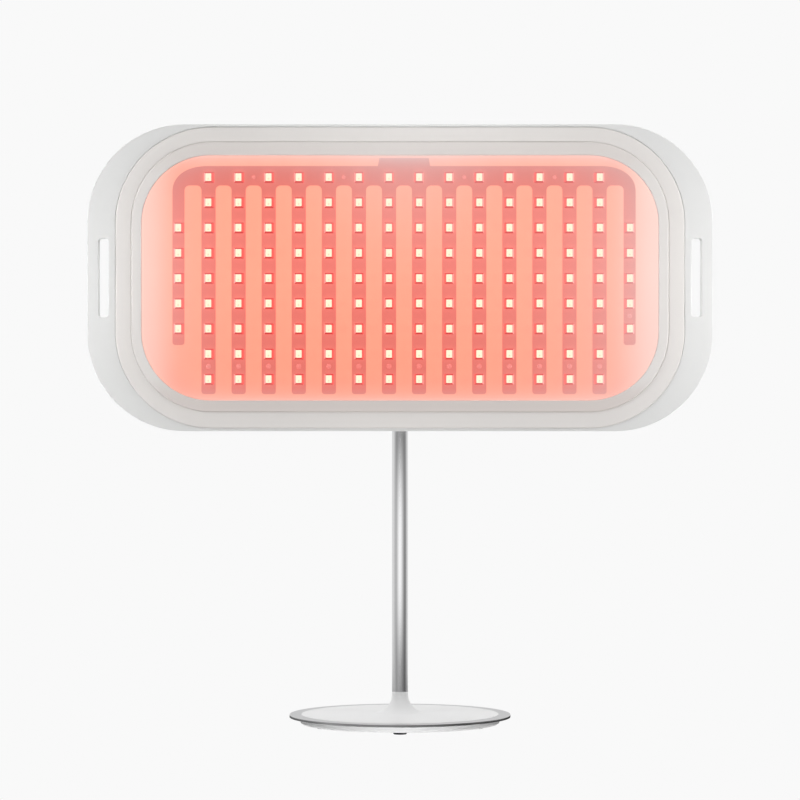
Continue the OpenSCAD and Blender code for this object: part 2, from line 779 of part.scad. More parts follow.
module dock_tongue() {
    color("lightgray") difference() {
        union() {
            tilt_rod(knuckle_d, -knuckle_w / 2, knuckle_w / 2);
            translate([-knuckle_w / 2, -tongue_back_w - fit, tilt_z - neck_h / 2])
                cube([knuckle_w, tongue_back_w + fit, neck_h]);
            on_panel(tongue_back_w) translate([0, dock_y + tongue_h / 2])
                linear_extrude(tongue_t) rounded_rect([tongue_w, tongue_h, tongue_r]);
        }
        tilt_rod(tilt_bolt_d + 2 * run, -fork_w, fork_w);
    }
}

// Panel

module slot_cut(side) {
    mouth_x = flange_w / 2 - slot_edge;
    throat_x = mouth_x - slot_lead;
    on_panel(flange_back_w - cut) translate([side * (throat_x - slot_w / 2), 0])
        linear_extrude(flange_t + 2 * cut) rounded_rect([slot_w, slot_h, slot_r]);
    translate([0, 0, panel_z - slot_h / 2 + slot_r]) linear_extrude(slot_h - 2 * slot_r) polygon([
        [side * throat_x, -flange_back_w], [side * (throat_x - slot_w / 2), -flange_back_w],
        [side * (throat_x - slot_w / 2), -flange_front_w], [side * mouth_x, -flange_front_w]
    ]);
}

module strap_flange() {
    color("whitesmoke") difference() {
        layer(flange_back_w, flange_front_w) difference() {
            rounded_rect(flange_size);
            rounded_rect(cavity_size);
        }
        for (side = [-1, 1]) slot_cut(side);
        panel_holes(shell_screw_sites, screw_d + 2 * fit, flange_back_w - cut, flange_front_w + cut);
    }
}

module outer_bezel() {
    color("whitesmoke") difference() {
        layer(flange_front_w, outer_front_w) difference() {
            rounded_rect(outer_size);
            rounded_rect(grown(inner_size, fit));
        }
        panel_holes(
            shell_screw_sites, screw_d + 2 * fit,
            flange_front_w - cut, flange_front_w + bezel_bite + fit
        );
    }
}

module inner_bezel() {
    color("whitesmoke") difference() {
        union() {
            layer(keeper_back_w, inner_front_w) rounded_rect(inner_size);
            layer(keeper_back_w, flange_front_w) rounded_rect(keeper_size);
        }
        layer(keeper_back_w - cut, lip_back_w) rounded_rect(grown(sheet_size, fit));
        layer(keeper_back_w, inner_front_w + cut) rounded_rect(opening_size);
    }
}

module window() {
    color("mistyrose", 0.4) {
        layer(window_back_w, lip_back_w) rounded_rect(sheet_size);
        layer(window_back_w, window_front_w) rounded_rect(grown(opening_size, -slide));
    }
}

module window_seal() {
    color("lightgray") layer(seal_back_w, window_back_w) difference() {
        rounded_rect(sheet_size);
        rounded_rect(opening_size);
    }
}

module back_shell() {
    color("whitesmoke") difference() {
        layer(shell_back_w, flange_back_w) rounded_rect(shell_size);
        layer(cavity_w, flange_back_w + cut) rounded_rect(cavity_size);
        panel_holes(shell_screw_sites, screw_head_d + 2 * slide, shell_back_w - cut, shell_back_w + sink);
        panel_holes(shell_screw_sites, screw_d + 2 * fit, shell_back_w, flange_back_w + cut);
        panel_holes(
            concat(dock_screw_sites, pod_floor_screw_sites), screw_d + 2 * fit,
            shell_back_w - cut, shell_back_w + bite + fit
        );
        layer(shell_back_w - cut, cavity_w + cut) translate(tail_site) square(tail_slot, center = true);
    }
}

module reflector_tray() {
    color("lightsalmon") difference() {
        layer(cavity_w, seal_back_w) rounded_rect(sheet_size);
        layer(flex_back_w, seal_back_w + cut) rounded_rect(opening_size);
        panel_holes(pin_sites, pin_d + 2 * fit, cavity_w - cut, flex_back_w + cut);
        layer(cavity_w - cut, flex_back_w + cut) translate(tail_site) square(tail_slot, center = true);
    }
}

// Bar with round corners at its foot, reaching up to a height
module finger(x, w, foot, top) {
    translate([x - w / 2, foot + finger_r]) square([w, top - foot - finger_r]);
    translate([x - w / 2 + finger_r, foot]) square([w - 2 * finger_r, finger_r]);
    for (side = [-1, 1]) translate([x + side * (w / 2 - finger_r), foot + finger_r]) circle(finger_r);
}

// Filled corner at the top of a gap, to the right or left of a finger's edge
module gap_corner(x, side) {
    translate([x, bus_bottom]) mirror([side < 0 ? 1 : 0, 0]) mirror([0, 1]) difference() {
        square(gap_r);
        translate([gap_r, gap_r]) circle(gap_r);
    }
}

function width_of(i) = is_side(i) ? side_finger_w : finger_w;
function foot_of(i) = is_side(i) ? side_finger_foot : finger_foot;

// What a round top corner leaves out of a square one, to the right of the corner
module corner_notch(r) {
    difference() {
        translate([-cut, -r]) square([r + cut, r + cut]);
        translate([r, -r]) circle(r);
    }
}

module comb() {
    left = column_x(0) - side_finger_w / 2;
    right = column_x(columns - 1) + side_finger_w / 2;
    difference() {
        union() {
            translate([left, bus_bottom]) square([right - left, bus_top - bus_bottom]);
            for (i = [0:columns - 1]) finger(column_x(i), width_of(i), foot_of(i), bus_bottom + cut);
            for (i = [0:columns - 2]) {
                gap_corner(column_x(i) + width_of(i) / 2, 1);
                gap_corner(column_x(i + 1) - width_of(i + 1) / 2, -1);
            }
            translate([array_shift - tab_w / 2, bus_top - tab_h]) square([tab_w, 2 * tab_h]);
        }
        translate([left, bus_top]) corner_notch(bus_r);
        translate([right, bus_top]) mirror([1, 0]) corner_notch(bus_r);
    }
}

module flex_circuit() {
    color("salmon") difference() {
        layer(flex_back_w, flex_front_w) comb();
        panel_holes(pin_sites, pin_d + 2 * fit, flex_back_w - cut, flex_front_w + cut);
    }
}

module led_housings() {
    color("red") on_panel(flex_front_w) for (site = led_sites) translate(site) difference() {
        translate([-led_w / 2, -led_h / 2, 0]) cube([led_w, led_h, led_t]);
        translate([-face_w / 2, face_shift - face_h / 2, led_t - face_depth])
            cube([face_w, face_h, face_depth + cut]);
    }
}

module led_emitters() {
    color("lightyellow") on_panel(led_front_w - face_depth) for (site = led_sites) translate(site)
        translate([-face_w / 2 + fit, face_shift - face_h / 2 + fit, 0])
            cube([face_w - 2 * fit, face_h - 2 * fit, face_depth + face_proud]);
}

module locating_pin(site, head_d) {
    on_panel(cavity_w) translate(site) {
        cylinder(d = pin_d, h = reflector_t + flex_t + fit);
        translate([0, 0, reflector_t + flex_t])
            cylinder(d1 = head_d, d2 = head_d / 2, h = pin_head_t);
    }
}

module locating_pins() {
    color("lightcoral") {
        for (site = concat(finger_pin_sites, [side_pin_site])) locating_pin(site, pin_head_d);
        for (site = bus_pin_sites) locating_pin(site, bus_pin_head_d);
    }
}

module ribbon_tail() {
    color("goldenrod") layer(tail_back_w, flex_back_w) translate(tail_site)
        square([tail_w, tail_t], center = true);
}

// Driver pod

module pod_housing() {
    color("whitesmoke") difference() {
        union() {
            difference() {
                layer(cover_inner_w, panel_gap) translate([0, pod_y]) rounded_rect(pod_size);
                layer(cover_inner_w - cut, pod_floor_w) translate([0, pod_y]) rounded_rect(pod_inner);
            }
            panel_holes(post_sites, post_d, board_front_w, pod_floor_w + fit);
        }
        panel_holes(post_sites, screw_d + 2 * fit, board_front_w - cut, board_front_w + bite + fit);
        panel_holes(pod_floor_screw_sites, screw_d + 2 * fit, pod_floor_w - cut, panel_gap + cut);
        layer(pod_floor_w - cut, panel_gap + cut) translate(tail_site) square(tail_slot, center = true);
        socket_shape(socket_clear, pod_wall + cut);
    }
}

module pod_cover() {
    color("whitesmoke") difference() {
        union() {
            layer(pod_back_w, cover_inner_w) translate([0, pod_y]) rounded_rect(pod_size);
            panel_holes(post_sites, post_d, cover_inner_w - fit, board_back_w);
        }
        panel_holes(post_sites, screw_head_d + 2 * slide, pod_back_w - cut, pod_back_w + sink);
        panel_holes(post_sites, screw_d + 2 * fit, pod_back_w, board_back_w + cut);
        panel_rod(button_site, button_d + 2 * slide, pod_back_w - cut, cover_inner_w + cut);
        panel_rod(status_site, status_d + 2 * fit, pod_back_w - cut, cover_inner_w + cut);
    }
}

module driver_board() {
    color("seagreen") difference() {
        layer(board_back_w, board_front_w) translate([0, pod_y]) rounded_rect(board_size);
        panel_holes(post_sites, screw_d + 2 * fit, board_back_w - cut, board_front_w + cut);
    }
}

module driver_chips() {
    color("black") for (chip = chips)
        layer(board_back_w - chip[4], board_back_w) translate([chip[0], pod_y + chip[1]])
            square([chip[2], chip[3]], center = true);
}

module ribbon_connector() {
    color("ivory") difference() {
        layer(board_front_w, board_front_w + connector_t) translate(tail_site)
            square(connector_size, center = true);
        layer(tail_back_w - fit, board_front_w + connector_t + cut) translate(tail_site)
            square([tail_w + 2 * fit, tail_t + 2 * fit], center = true);
    }
}

module switch_body() {
    color("dimgray") difference() {
        layer(switch_back_w, board_back_w) translate(button_site) square(switch_w, center = true);
        panel_rod(button_site, stem_d + 2 * slide, switch_back_w - cut, board_back_w - fit);
    }
}

// Obround outline of the power socket's shell, grown by a margin
module socket_outline(margin) {
    d = socket_t + 2 * margin;
    square([socket_w - socket_t, d], center = true);
    for (x = [-1, 1]) translate([x * (socket_w - socket_t) / 2, 0]) circle(d = d);
}

// The socket's shell as a bar that goes up from the pod's bottom face
module socket_shape(margin, l) {
    translate([socket_x, -socket_mid_w, panel_z + socket_mouth - (margin > 0 ? cut : 0)])
        linear_extrude(l + (margin > 0 ? cut : 0)) socket_outline(margin);
}

module power_socket() {
    color("silver") difference() {
        socket_shape(0, socket_l);
        translate([socket_x, -socket_mid_w, panel_z + socket_mouth - cut])
            linear_extrude(socket_l - socket_end_t + cut) difference() {
                socket_outline(-socket_wall);
                square(socket_tongue, center = true);
            }
    }
}

module status_light() {
    color("palegreen") panel_rod(status_site, status_d, pod_back_w, pod_back_w + status_l);
}

module pod_screws() {
    color("gray") for (site = post_sites)
        panel_screw(site, pod_back_w + sink - screw_head_t, board_front_w + bite);
}

module pod_floor_screws() {
    color("gray") for (site = pod_floor_screw_sites)
        panel_screw(site, pod_floor_w - screw_head_t, shell_back_w + bite);
}

module shell_screws() {
    color("gray") for (site = shell_screw_sites)
        panel_screw(site, shell_back_w + sink - screw_head_t, flange_front_w + bezel_bite);
}

module dock_socket() {
    color("lightgray") difference() {
        layer(lip_back_edge_w, dock_front_w) translate([0, dock_y + dock_height / 2])
            rounded_rect([dock_outer_w, dock_height, tongue_r]);
        layer(lip_front_w, dock_front_w - dock_floor) translate([-tongue_w / 2 - slide, dock_y - cut])
            square([tongue_w + 2 * slide, tongue_h + fit + cut]);
        layer(lip_back_edge_w - cut, lip_front_w + fit) translate([-tongue_w / 2 + lip_w, dock_y - cut])
            square([tongue_w - 2 * lip_w, tongue_h + fit + cut]);
        panel_holes(
            dock_screw_sites, screw_head_d + 2 * fit,
            dock_front_w - dock_floor - cut, dock_front_w - dock_floor + screw_head_t
        );
        panel_holes(dock_screw_sites, screw_d + 2 * fit, dock_front_w - dock_floor, dock_front_w + cut);
    }
}

module dock_screws() {
    color("gray") for (site = dock_screw_sites)
        panel_screw(site, dock_front_w - dock_floor, shell_back_w + bite);
}

module power_button() {
    color("gainsboro") {
        panel_rod(button_site, button_d, button_back_w, button_lip_w);
        panel_rod(button_site, button_lip_d, button_lip_w, button_lip_w + button_lip_t);
        panel_rod(button_site, stem_d, button_lip_w, stem_tip_w);
    }
}

base_plate();
base_cover();
base_tray();
ballast_disc();
rubber_feet();
base_screws();
pole();
pole_plug();
pole_bolt();
pole_washer();
pole_top_plug();
stop_ring();
swivel_head();
swivel_bush();
friction_screw();
tilt_bolt();
tilt_nut();
friction_washers();
dock_tongue();
strap_flange();
outer_bezel();
inner_bezel();
window();
window_seal();
back_shell();
reflector_tray();
flex_circuit();
led_housings();
led_emitters();
locating_pins();
ribbon_tail();
pod_housing();
pod_cover();
driver_board();
driver_chips();
ribbon_connector();
switch_body();
power_socket();
status_light();
pod_screws();
pod_floor_screws();
shell_screws();
dock_socket();
dock_screws();
power_button();
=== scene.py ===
"""Looks of a light therapy panel on a round desk stand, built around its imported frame.

Every piece is made in metres in the row frame: +X to the right, +Y away from the viewer, +Z up.
The lit face of the panel looks along -Y. A depth in front of the pole's axis is called w, so y is -w.
"""

import json
import logging
import math
from collections.abc import Sequence
from dataclasses import dataclass
from enum import Enum
from functools import partial, reduce

import bmesh
import bpy
from mathutils import Matrix, Vector

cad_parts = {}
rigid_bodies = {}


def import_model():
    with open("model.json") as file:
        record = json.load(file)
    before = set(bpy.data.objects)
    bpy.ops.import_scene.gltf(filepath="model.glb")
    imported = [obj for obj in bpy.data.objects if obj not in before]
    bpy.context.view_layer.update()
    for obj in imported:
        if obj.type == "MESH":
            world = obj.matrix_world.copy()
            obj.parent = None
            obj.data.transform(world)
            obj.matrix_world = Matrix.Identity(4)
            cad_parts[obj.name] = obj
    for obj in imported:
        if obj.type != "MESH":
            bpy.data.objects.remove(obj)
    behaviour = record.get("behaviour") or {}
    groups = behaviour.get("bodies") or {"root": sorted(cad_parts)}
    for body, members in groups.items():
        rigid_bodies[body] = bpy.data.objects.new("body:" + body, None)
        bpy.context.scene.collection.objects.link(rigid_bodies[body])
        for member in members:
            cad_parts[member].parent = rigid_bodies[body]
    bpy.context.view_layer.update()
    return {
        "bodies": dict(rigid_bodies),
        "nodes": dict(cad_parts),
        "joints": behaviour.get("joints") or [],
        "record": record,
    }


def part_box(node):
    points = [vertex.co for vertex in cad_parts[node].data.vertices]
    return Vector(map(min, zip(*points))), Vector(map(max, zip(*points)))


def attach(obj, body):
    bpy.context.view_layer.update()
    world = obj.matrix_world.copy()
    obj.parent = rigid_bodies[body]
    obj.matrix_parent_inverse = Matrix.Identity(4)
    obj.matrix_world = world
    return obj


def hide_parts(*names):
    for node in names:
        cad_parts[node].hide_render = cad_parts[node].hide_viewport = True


MM = 0.001
LOG = logging.getLogger("light_panel")

# Ends of common ranges, and where most values of the noise lie.
RISING = (0.0, 1.0)
FALLING = (1.0, 0.0)
NOISE_RANGE = (0.3, 0.7)
CLOUD_RANGE = (0.35, 0.65)
BLACK = (0.0, 0.0, 0.0)
PAPER = (0.947, 0.947, 0.947)

# Corner of the window sheet, and how far the sheet reaches under the bezel's lip.
WINDOW_RADIUS = 46.4 * MM
WINDOW_LAP = 4 * MM

# Steps and limits of the meshes.
CORNER_STEPS = 24
TURNED_STEPS = 160
SMALLEST_RADIUS = 0.05 * MM
TIP_RADIUS = 1e-7
ARM_SHARE = 0.999
SHARP_ANGLE = math.radians(35)

Colour = tuple[float, float, float]
Corner = tuple[float, float, float]
Point = tuple[float, float]
Ring = list[bmesh.types.BMVert]
Socket = bpy.types.NodeSocket
Feed = Socket | float | Colour


def linear(red: float, green: float, blue: float) -> Colour:
    """Turns an sRGB colour, with shares from 0 to 255, into a scene-linear one."""
    parts = (value / 255 for value in (red, green, blue))
    return tuple(part / 12.92 if part <= 0.04045 else ((part + 0.055) / 1.055) ** 2.4 for part in parts)


class Fade(Enum):
    """Ways in which a number changes along a range."""

    STRAIGHT = "LINEAR"
    EASED = "SMOOTHSTEP"


class Graph:
    """A node tree with short calls for the nodes that the finishes use."""

    RELIEF_SHARE = 0.5
    MIX_FACTOR, MIX_FIRST, MIX_SECOND, MIX_RESULT = 0, 6, 7, 2

    def __init__(self, tree: bpy.types.NodeTree) -> None:
        """Empties the tree and keeps it."""
        self.tree = tree
        tree.nodes.clear()

    def node(
        self, kind: str, inputs: dict[str | int, Feed] | None = None, **settings: object
    ) -> bpy.types.Node:
        """Adds a node.

        Args:
            kind: Blender's name of the node type.
            inputs: What its inputs get, by name or number.
            settings: Properties to set on the node.

        Returns:
            The new node.
        """
        made = self.tree.nodes.new(kind)
        for name, value in settings.items():
            setattr(made, name, value)
        for name, value in (inputs or {}).items():
            self.feed(made.inputs[name], value)
        return made

    def feed(self, target: Socket, value: Feed) -> None:
        """Links a socket into an input, or sets the input's own value.

        Args:
            target: The input socket.
            value: An output socket, a number or a colour.
        """
        if isinstance(value, bpy.types.NodeSocket):
            self.tree.links.new(value, target)
        elif target.type == "RGBA":
            target.default_value = (*value, 1.0)
        else:
            target.default_value = value

    def surface(self, inputs: dict[str, Feed]) -> None:
        """Ends a material in a Principled shader with these inputs."""
        shader = self.node("ShaderNodeBsdfPrincipled", inputs)
        self.node("ShaderNodeOutputMaterial", {"Surface": shader.outputs[0]})

    def place(self) -> Socket:
        """Coordinates in the piece's own frame, in metres."""
        return self.node("ShaderNodeTexCoord").outputs["Object"]

    def split(self, vector: Socket) -> tuple[Socket, ...]:
        """Splits a vector into its x, y and z."""
        return tuple(self.node("ShaderNodeSeparateXYZ", {0: vector}).outputs)

    def math(self, operation: str, a: Feed, b: Feed = 0.0) -> Socket:
        """Combines two numbers by one of Blender's named operations."""
        return self.node("ShaderNodeMath", {0: a, 1: b}, operation=operation).outputs[0]

    def plus(self, *terms: Feed) -> Socket:
        """Adds numbers up."""
        return reduce(partial(self.math, "ADD"), terms)

    def times(self, *factors: Feed) -> Socket:
        """Multiplies numbers."""
        return reduce(partial(self.math, "MULTIPLY"), factors)

    def minus(self, a: Feed, b: Feed) -> Socket:
        """Takes the second number from the first."""
        return self.math("SUBTRACT", a, b)

    def greatest(self, a: Feed, b: Feed) -> Socket:
        """Keeps the greater of two numbers."""
        return self.math("MAXIMUM", a, b)

    def size(self, value: Feed) -> Socket:
        """A number without its sign."""
        return self.math("ABSOLUTE", value)

    def away(self, offset: Feed, reach: float, power: float) -> Socket:
        """An offset counted in reaches, without its sign and raised to a power."""
        return self.math("POWER", self.size(self.math("DIVIDE", offset, reach)), power)

    def hill(self, *parts: Feed) -> Socket:
        """A soft hill that is 1 where all its parts are 0 and falls off as they grow."""
        return self.math("EXPONENT", self.times(self.plus(*parts), -1.0))

    def span(self, value: Feed, source: Point, target: Point = RISING, fade: Fade = Fade.STRAIGHT) -> Socket:
        """Maps one range of numbers onto another, held at its ends.

        Args:
            value: The number to map.
            source: Where the range starts and ends.
            target: The numbers at its start and end.
            fade: The way in which it changes between them.

        Returns:
            The mapped number.
        """
        inputs = {"Value": value, "From Min": source[0], "From Max": source[1]}
        inputs |= {"To Min": target[0], "To Max": target[1]}
        made = self.node("ShaderNodeMapRange", inputs, interpolation_type=fade.value, clamp=True)
        return made.outputs["Result"]

    def ease(self, value: Feed, source: Point, target: Point = RISING) -> Socket:
        """Maps one range of numbers onto another, easing in and out at its ends."""
        return self.span(value, source, target, Fade.EASED)

    def blend(self, factor: Feed, a: Feed, b: Feed) -> Socket:
        """Mixes two colours by the second one's share."""
        inputs = {self.MIX_FACTOR: factor, self.MIX_FIRST: a, self.MIX_SECOND: b}
        return self.node("ShaderNodeMix", inputs, data_type="RGBA").outputs[self.MIX_RESULT]

    def noise(self, vector: Socket, size: float, layers: float = 2.0) -> Socket:
        """Soft random pattern from 0 to 1, with patches of a size in metres and some finer layers."""
        inputs = {"Vector": vector, "Scale": 1 / size, "Detail": layers}
        return self.node("ShaderNodeTexNoise", inputs).outputs["Fac"]

    def stretch(self, vector: Socket, factors: Colour) -> Socket:
        """Scales coordinates along x, y and z."""
        return self.node("ShaderNodeVectorMath", {0: vector, 1: factors}, operation="MULTIPLY").outputs[0]

    def bump(self, height: Socket, depth: float) -> Socket:
        """Normal of a small relief, whose height runs from 0 to 1 and whose depth is in metres."""
        inputs = {"Strength": self.RELIEF_SHARE, "Distance": depth, "Height": height}
        return self.node("ShaderNodeBump", inputs).outputs["Normal"]


def new_material(name: str) -> tuple[bpy.types.Material, Graph]:
    """Makes a material.

    Args:
        name: Its name.

    Returns:
        The material and its emptied node tree.
    """
    made = bpy.data.materials.new(name)
    made.use_nodes = True
    return made, Graph(made.node_tree)


@dataclass(frozen=True)
class Finish:
    """A surface finish that makes its material once."""

    name: str

    def material(self) -> bpy.types.Material:
        """Finds the finish's material, or makes it on first use.

        Returns:
            The material.
        """
        label = f"finish_{self.name}"
        found = bpy.data.materials.get(label)
        if found is None:
            found, graph = new_material(label)
            graph.surface(self.look(graph, graph.place()))
        return found

    def look(self, graph: Graph, place: Socket) -> dict[str, Feed]:
        """Draws the finish and returns the shader's inputs. Each kind of finish has its own."""
        raise NotImplementedError


@dataclass(frozen=True)
class Moulded(Finish):
    """Moulded plastic or rubber, with a faint mottle and a fine spark-eroded grain."""

    colour: Colour
    roughness: float = 0.45
    mottle: float = 0.012
    mottle_size: float = 0.02
    grain_size: float = 0.0006
    grain_depth: float = 0.000012
    mottle_layers: float = 4.0
    gloss_swing: float = 0.05

    def look(self, graph: Graph, place: Socket) -> dict[str, Feed]:
        """Draws the plastic's colour, gloss and grain.

        Args:
            graph: The material's node tree.
            place: Coordinates in metres.

        Returns:
            The shader's inputs.
        """
        grain = graph.noise(place, self.grain_size)
        gloss = (self.roughness - self.gloss_swing, self.roughness + self.gloss_swing)
        return {
            "Base Color": self.paint(graph, place),
            "Roughness": graph.span(grain, NOISE_RANGE, gloss),
            "Normal": graph.bump(grain, self.grain_depth),
        }

    def paint(self, graph: Graph, place: Socket) -> Socket:
        """Draws the plastic's mottled colour.

        Args:
            graph: The material's node tree.
            place: Coordinates in metres.

        Returns:
            The colour.
        """
        dull = tuple(part * (1 - self.mottle) for part in self.colour)
        cloud = graph.span(graph.noise(place, self.mottle_size, self.mottle_layers), CLOUD_RANGE)
        return graph.blend(cloud, dull, self.colour)


@dataclass(frozen=True)
class PaintedShadeRim(Moulded):
    """Moulded plastic with painted shade and a painted red spill of the lights along the window's lower and
    upper edges.
    """

    # Colour that the plastic takes under the painted shade and red spill.
    painted_shade_tint: Colour = (0.73, 0.67, 0.64)
    centre_z: float = 0.0
    lower: Point = (-75 * MM, -60 * MM)
    upper: Point = (60 * MM, 75 * MM)
    painted_shade_upper_share: float = 0.45

    def paint(self, graph: Graph, place: Socket) -> Socket:
        """Draws the plastic's colour and its runs of painted shade and painted red spill.

        Args:
            graph: The material's node tree.
            place: Coordinates in metres.

        Returns:
            The colour.
        """
        height = graph.minus(graph.split(place)[2], self.centre_z)
        # Painted shade and red spill: strongest along the window's lower edge, weaker along its upper edge.
        below = graph.ease(height, self.lower, FALLING)
        above = graph.ease(height, self.upper, (0.0, self.painted_shade_upper_share))
        return graph.blend(graph.greatest(below, above), super().paint(graph, place), self.painted_shade_tint)


class Brush(Enum):
    """Ways in which a metal's fine scratches run, as the pattern's scale along x, y and z."""

    UPRIGHT = (300.0, 300.0, 2.0)
    NONE = (60.0, 60.0, 60.0)


@dataclass(frozen=True)
class Metal(Finish):
    """Bare metal with fine scratches."""

    colour: Colour
    roughness: float = 0.3
    brush: Brush = Brush.NONE
    scratch: float = 0.06
    relief: float = 0.000004
    scratch_size: float = 0.05
    cloud_size: float = 0.015
    layers: float = 3.0

    def look(self, graph: Graph, place: Socket) -> dict[str, Feed]:
        """Draws the metal's colour, gloss and scratches.

        Args:
            graph: The material's node tree.
            place: Coordinates in metres.

        Returns:
            The shader's inputs.
        """
        lines = graph.noise(graph.stretch(place, self.brush.value), self.scratch_size, self.layers)
        dull = tuple(part * (1 - self.scratch) for part in self.colour)
        cloud = graph.span(graph.noise(place, self.cloud_size, self.layers), NOISE_RANGE)
        gloss = (self.roughness - self.scratch, self.roughness + self.scratch)
        return {
            "Metallic": 1.0,
            "Base Color": graph.blend(cloud, dull, self.colour),
            "Roughness": graph.span(lines, NOISE_RANGE, gloss),
            "Normal": graph.bump(lines, self.relief),
        }


@dataclass(frozen=True)
class Board(Finish):
    """Circuit board with its copper tracks showing under the green coat."""

    coat: Colour
    track: Colour
    pitch: float = 0.0024
    run: float = 6.0
    gap: float = 0.2
    gloss: Point = (0.35, 0.5)
    relief: float = 0.00003

    def look(self, graph: Graph, place: Socket) -> dict[str, Feed]:
        """Draws the coat and the tracks.

        Args:
            graph: The material's node tree.
            place: Coordinates in metres.

        Returns:
            The shader's inputs.
        """
        x, _, z = graph.split(place)
        layout = {
            "Vector": graph.node("ShaderNodeCombineXYZ", {0: x, 1: z}).outputs[0],
            "Scale": 1.0,
            "Brick Width": self.run * self.pitch,
            "Row Height": self.pitch,
            "Mortar Size": self.gap * self.pitch,
        }
        tracks = graph.node("ShaderNodeTexBrick", layout).outputs["Fac"]
        return {
            "Base Color": graph.blend(tracks, self.coat, self.track),
            "Roughness": graph.span(tracks, RISING, self.gloss),
            "Normal": graph.bump(tracks, self.relief),
        }


@dataclass(frozen=True)
class Lattice:
    """Places of the lights: an upright grid whose two side columns lack their end rows."""

    columns: int = 16
    rows: int = 9
    pitch_x: float = 18.58 * MM
    pitch_z: float = 15.58 * MM
    shift: float = 2.5 * MM
    side_skip: int = 2

    def x(self, column: float) -> float:
        """Sideways place of a column."""
        return (column - (self.columns - 1) / 2) * self.pitch_x + self.shift

    def v(self, row: float) -> float:
        """Height of a row above the panel's centre."""
        return ((self.rows - 1) / 2 - row) * self.pitch_z

    def is_side(self, column: int) -> bool:
        """Whether a column is one of the two short side columns."""
        return column in (0, self.columns - 1)

    def sites(self) -> list[Point]:
        """Lists the lights.

        Returns:
            Their places on the panel.
        """
        found = []
        for column in range(self.columns):
            skip = self.side_skip if self.is_side(column) else 0
            found += [(self.x(column), self.v(row)) for row in range(skip, self.rows - skip)]
        return found

    def nearness(self, graph: Graph, place: Socket, centre_z: float, reach: Point) -> Socket:
        """Draws how near a point is to its nearest light.

        Args:
            graph: The node tree.
            place: Coordinates in metres.
            centre_z: Height of the panel's centre.
            reach: Distances at which the nearness is 1 and 0.

        Returns:
            A number from 0 to 1.
        """
        x, _, z = graph.split(place)
        squares = []
        for value, start, pitch in ((x, self.x(0), self.pitch_x), (z, centre_z, self.pitch_z)):
            count = graph.math("DIVIDE", graph.minus(value, start), pitch)
            step = graph.times(graph.minus(count, graph.math("ROUND", count)), pitch)
            squares.append(graph.times(step, step))
        near = graph.ease(graph.math("SQRT", graph.plus(*squares)), reach, FALLING)
        # Beyond the middle of the last two columns, the end rows have no light.
        side_start = self.x(self.columns - 1.5) - self.shift
        side_end = self.v(self.side_skip - 0.5)
        outer = graph.math("GREATER_THAN", graph.size(graph.minus(x, self.shift)), side_start)
        bare = graph.math("GREATER_THAN", graph.size(graph.minus(z, centre_z)), side_end)
        return graph.times(near, graph.minus(1.0, graph.times(outer, bare)))


@dataclass(frozen=True)
class GlowPaintedSheet(Finish):
    """A sheet of the light box with painted light: it glows though it is no lamp, in painted pools around
    each light, with painted light along its side edges where wanted and painted shade towards its foot and
    top.
    """

    colour: Colour
    glow: Colour
    painted_light_pool: Colour
    lattice: Lattice
    centre_z: float
    reach: Point
    painted_edge_light: Colour | None = None
    left_edge: Point = (-134 * MM, -158 * MM)
    left_share: float = 0.75
    right_edge: Point = (128 * MM, 158 * MM)
    lower: Point = (-65 * MM, 5 * MM)
    painted_foot_shade: float = 0.855
    upper: Point = (36 * MM, 74 * MM)
    painted_top_shade: float = 1.0
    gloss: Point = (0.5, 0.6)
    mottle: float = 0.03
    mottle_size: float = 0.02
    mottle_layers: float = 3.0

    def look(self, graph: Graph, place: Socket) -> dict[str, Feed]:
        """Draws the sheet's own colour and its painted light and shade.

        Args:
            graph: The material's node tree.
            place: Coordinates in metres.

        Returns:
            The shader's inputs.
        """
        x, _, z = graph.split(place)
        cloud = graph.noise(place, self.mottle_size, self.mottle_layers)
        # Painted pools of light around each light, standing in for the lights' light on the sheet.
        near = self.lattice.nearness(graph, place, self.centre_z, self.reach)
        glow = graph.blend(near, self.glow, self.painted_light_pool)
        # Painted light along the left and right edges.
        if self.painted_edge_light is not None:
            left = graph.ease(x, self.left_edge, (0.0, self.left_share))
            right = graph.ease(x, self.right_edge)
            glow = graph.blend(graph.greatest(left, right), glow, self.painted_edge_light)
        # Painted shade: the glow is dimmer towards the foot and the top.
        height = graph.minus(z, self.centre_z)
        foot = graph.span(height, self.lower, (self.painted_foot_shade, 1.0))
        top = graph.span(height, self.upper, (1.0, self.painted_top_shade))
        mottle = graph.span(cloud, NOISE_RANGE, (1 - self.mottle, 1.0))
        return {
            "Base Color": self.colour,
            "Roughness": graph.span(cloud, NOISE_RANGE, self.gloss),
            "Emission Color": glow,
            "Emission Strength": graph.times(foot, top, mottle),
        }


@dataclass(frozen=True)
class GlowPaintedBody(Finish):
    """Plastic of a light's housing or of a pin, with a painted glow that stands in for the lights' light and
    changes from the middle to the outer columns.
    """

    colour: Colour
    middle_painted_glow: Colour
    outer_painted_glow: Colour
    half_width: float
    roughness: float = 0.35
    speckle_size: float = 0.004
    speckle: Point = (0.96, 1.0)

    def look(self, graph: Graph, place: Socket) -> dict[str, Feed]:
        """Draws the plastic's colour and its painted glow.

        Args:
            graph: The material's node tree.
            place: Coordinates in metres.

        Returns:
            The shader's inputs.
        """
        # Painted glow, changing with the distance from the panel's middle.
        share = graph.span(graph.size(graph.split(place)[0]), (0.0, self.half_width))
        return {
            "Base Color": self.colour,
            "Roughness": self.roughness,
            "Emission Color": graph.blend(share, self.middle_painted_glow, self.outer_painted_glow),
            "Emission Strength": graph.span(graph.noise(place, self.speckle_size), NOISE_RANGE, self.speckle),
        }


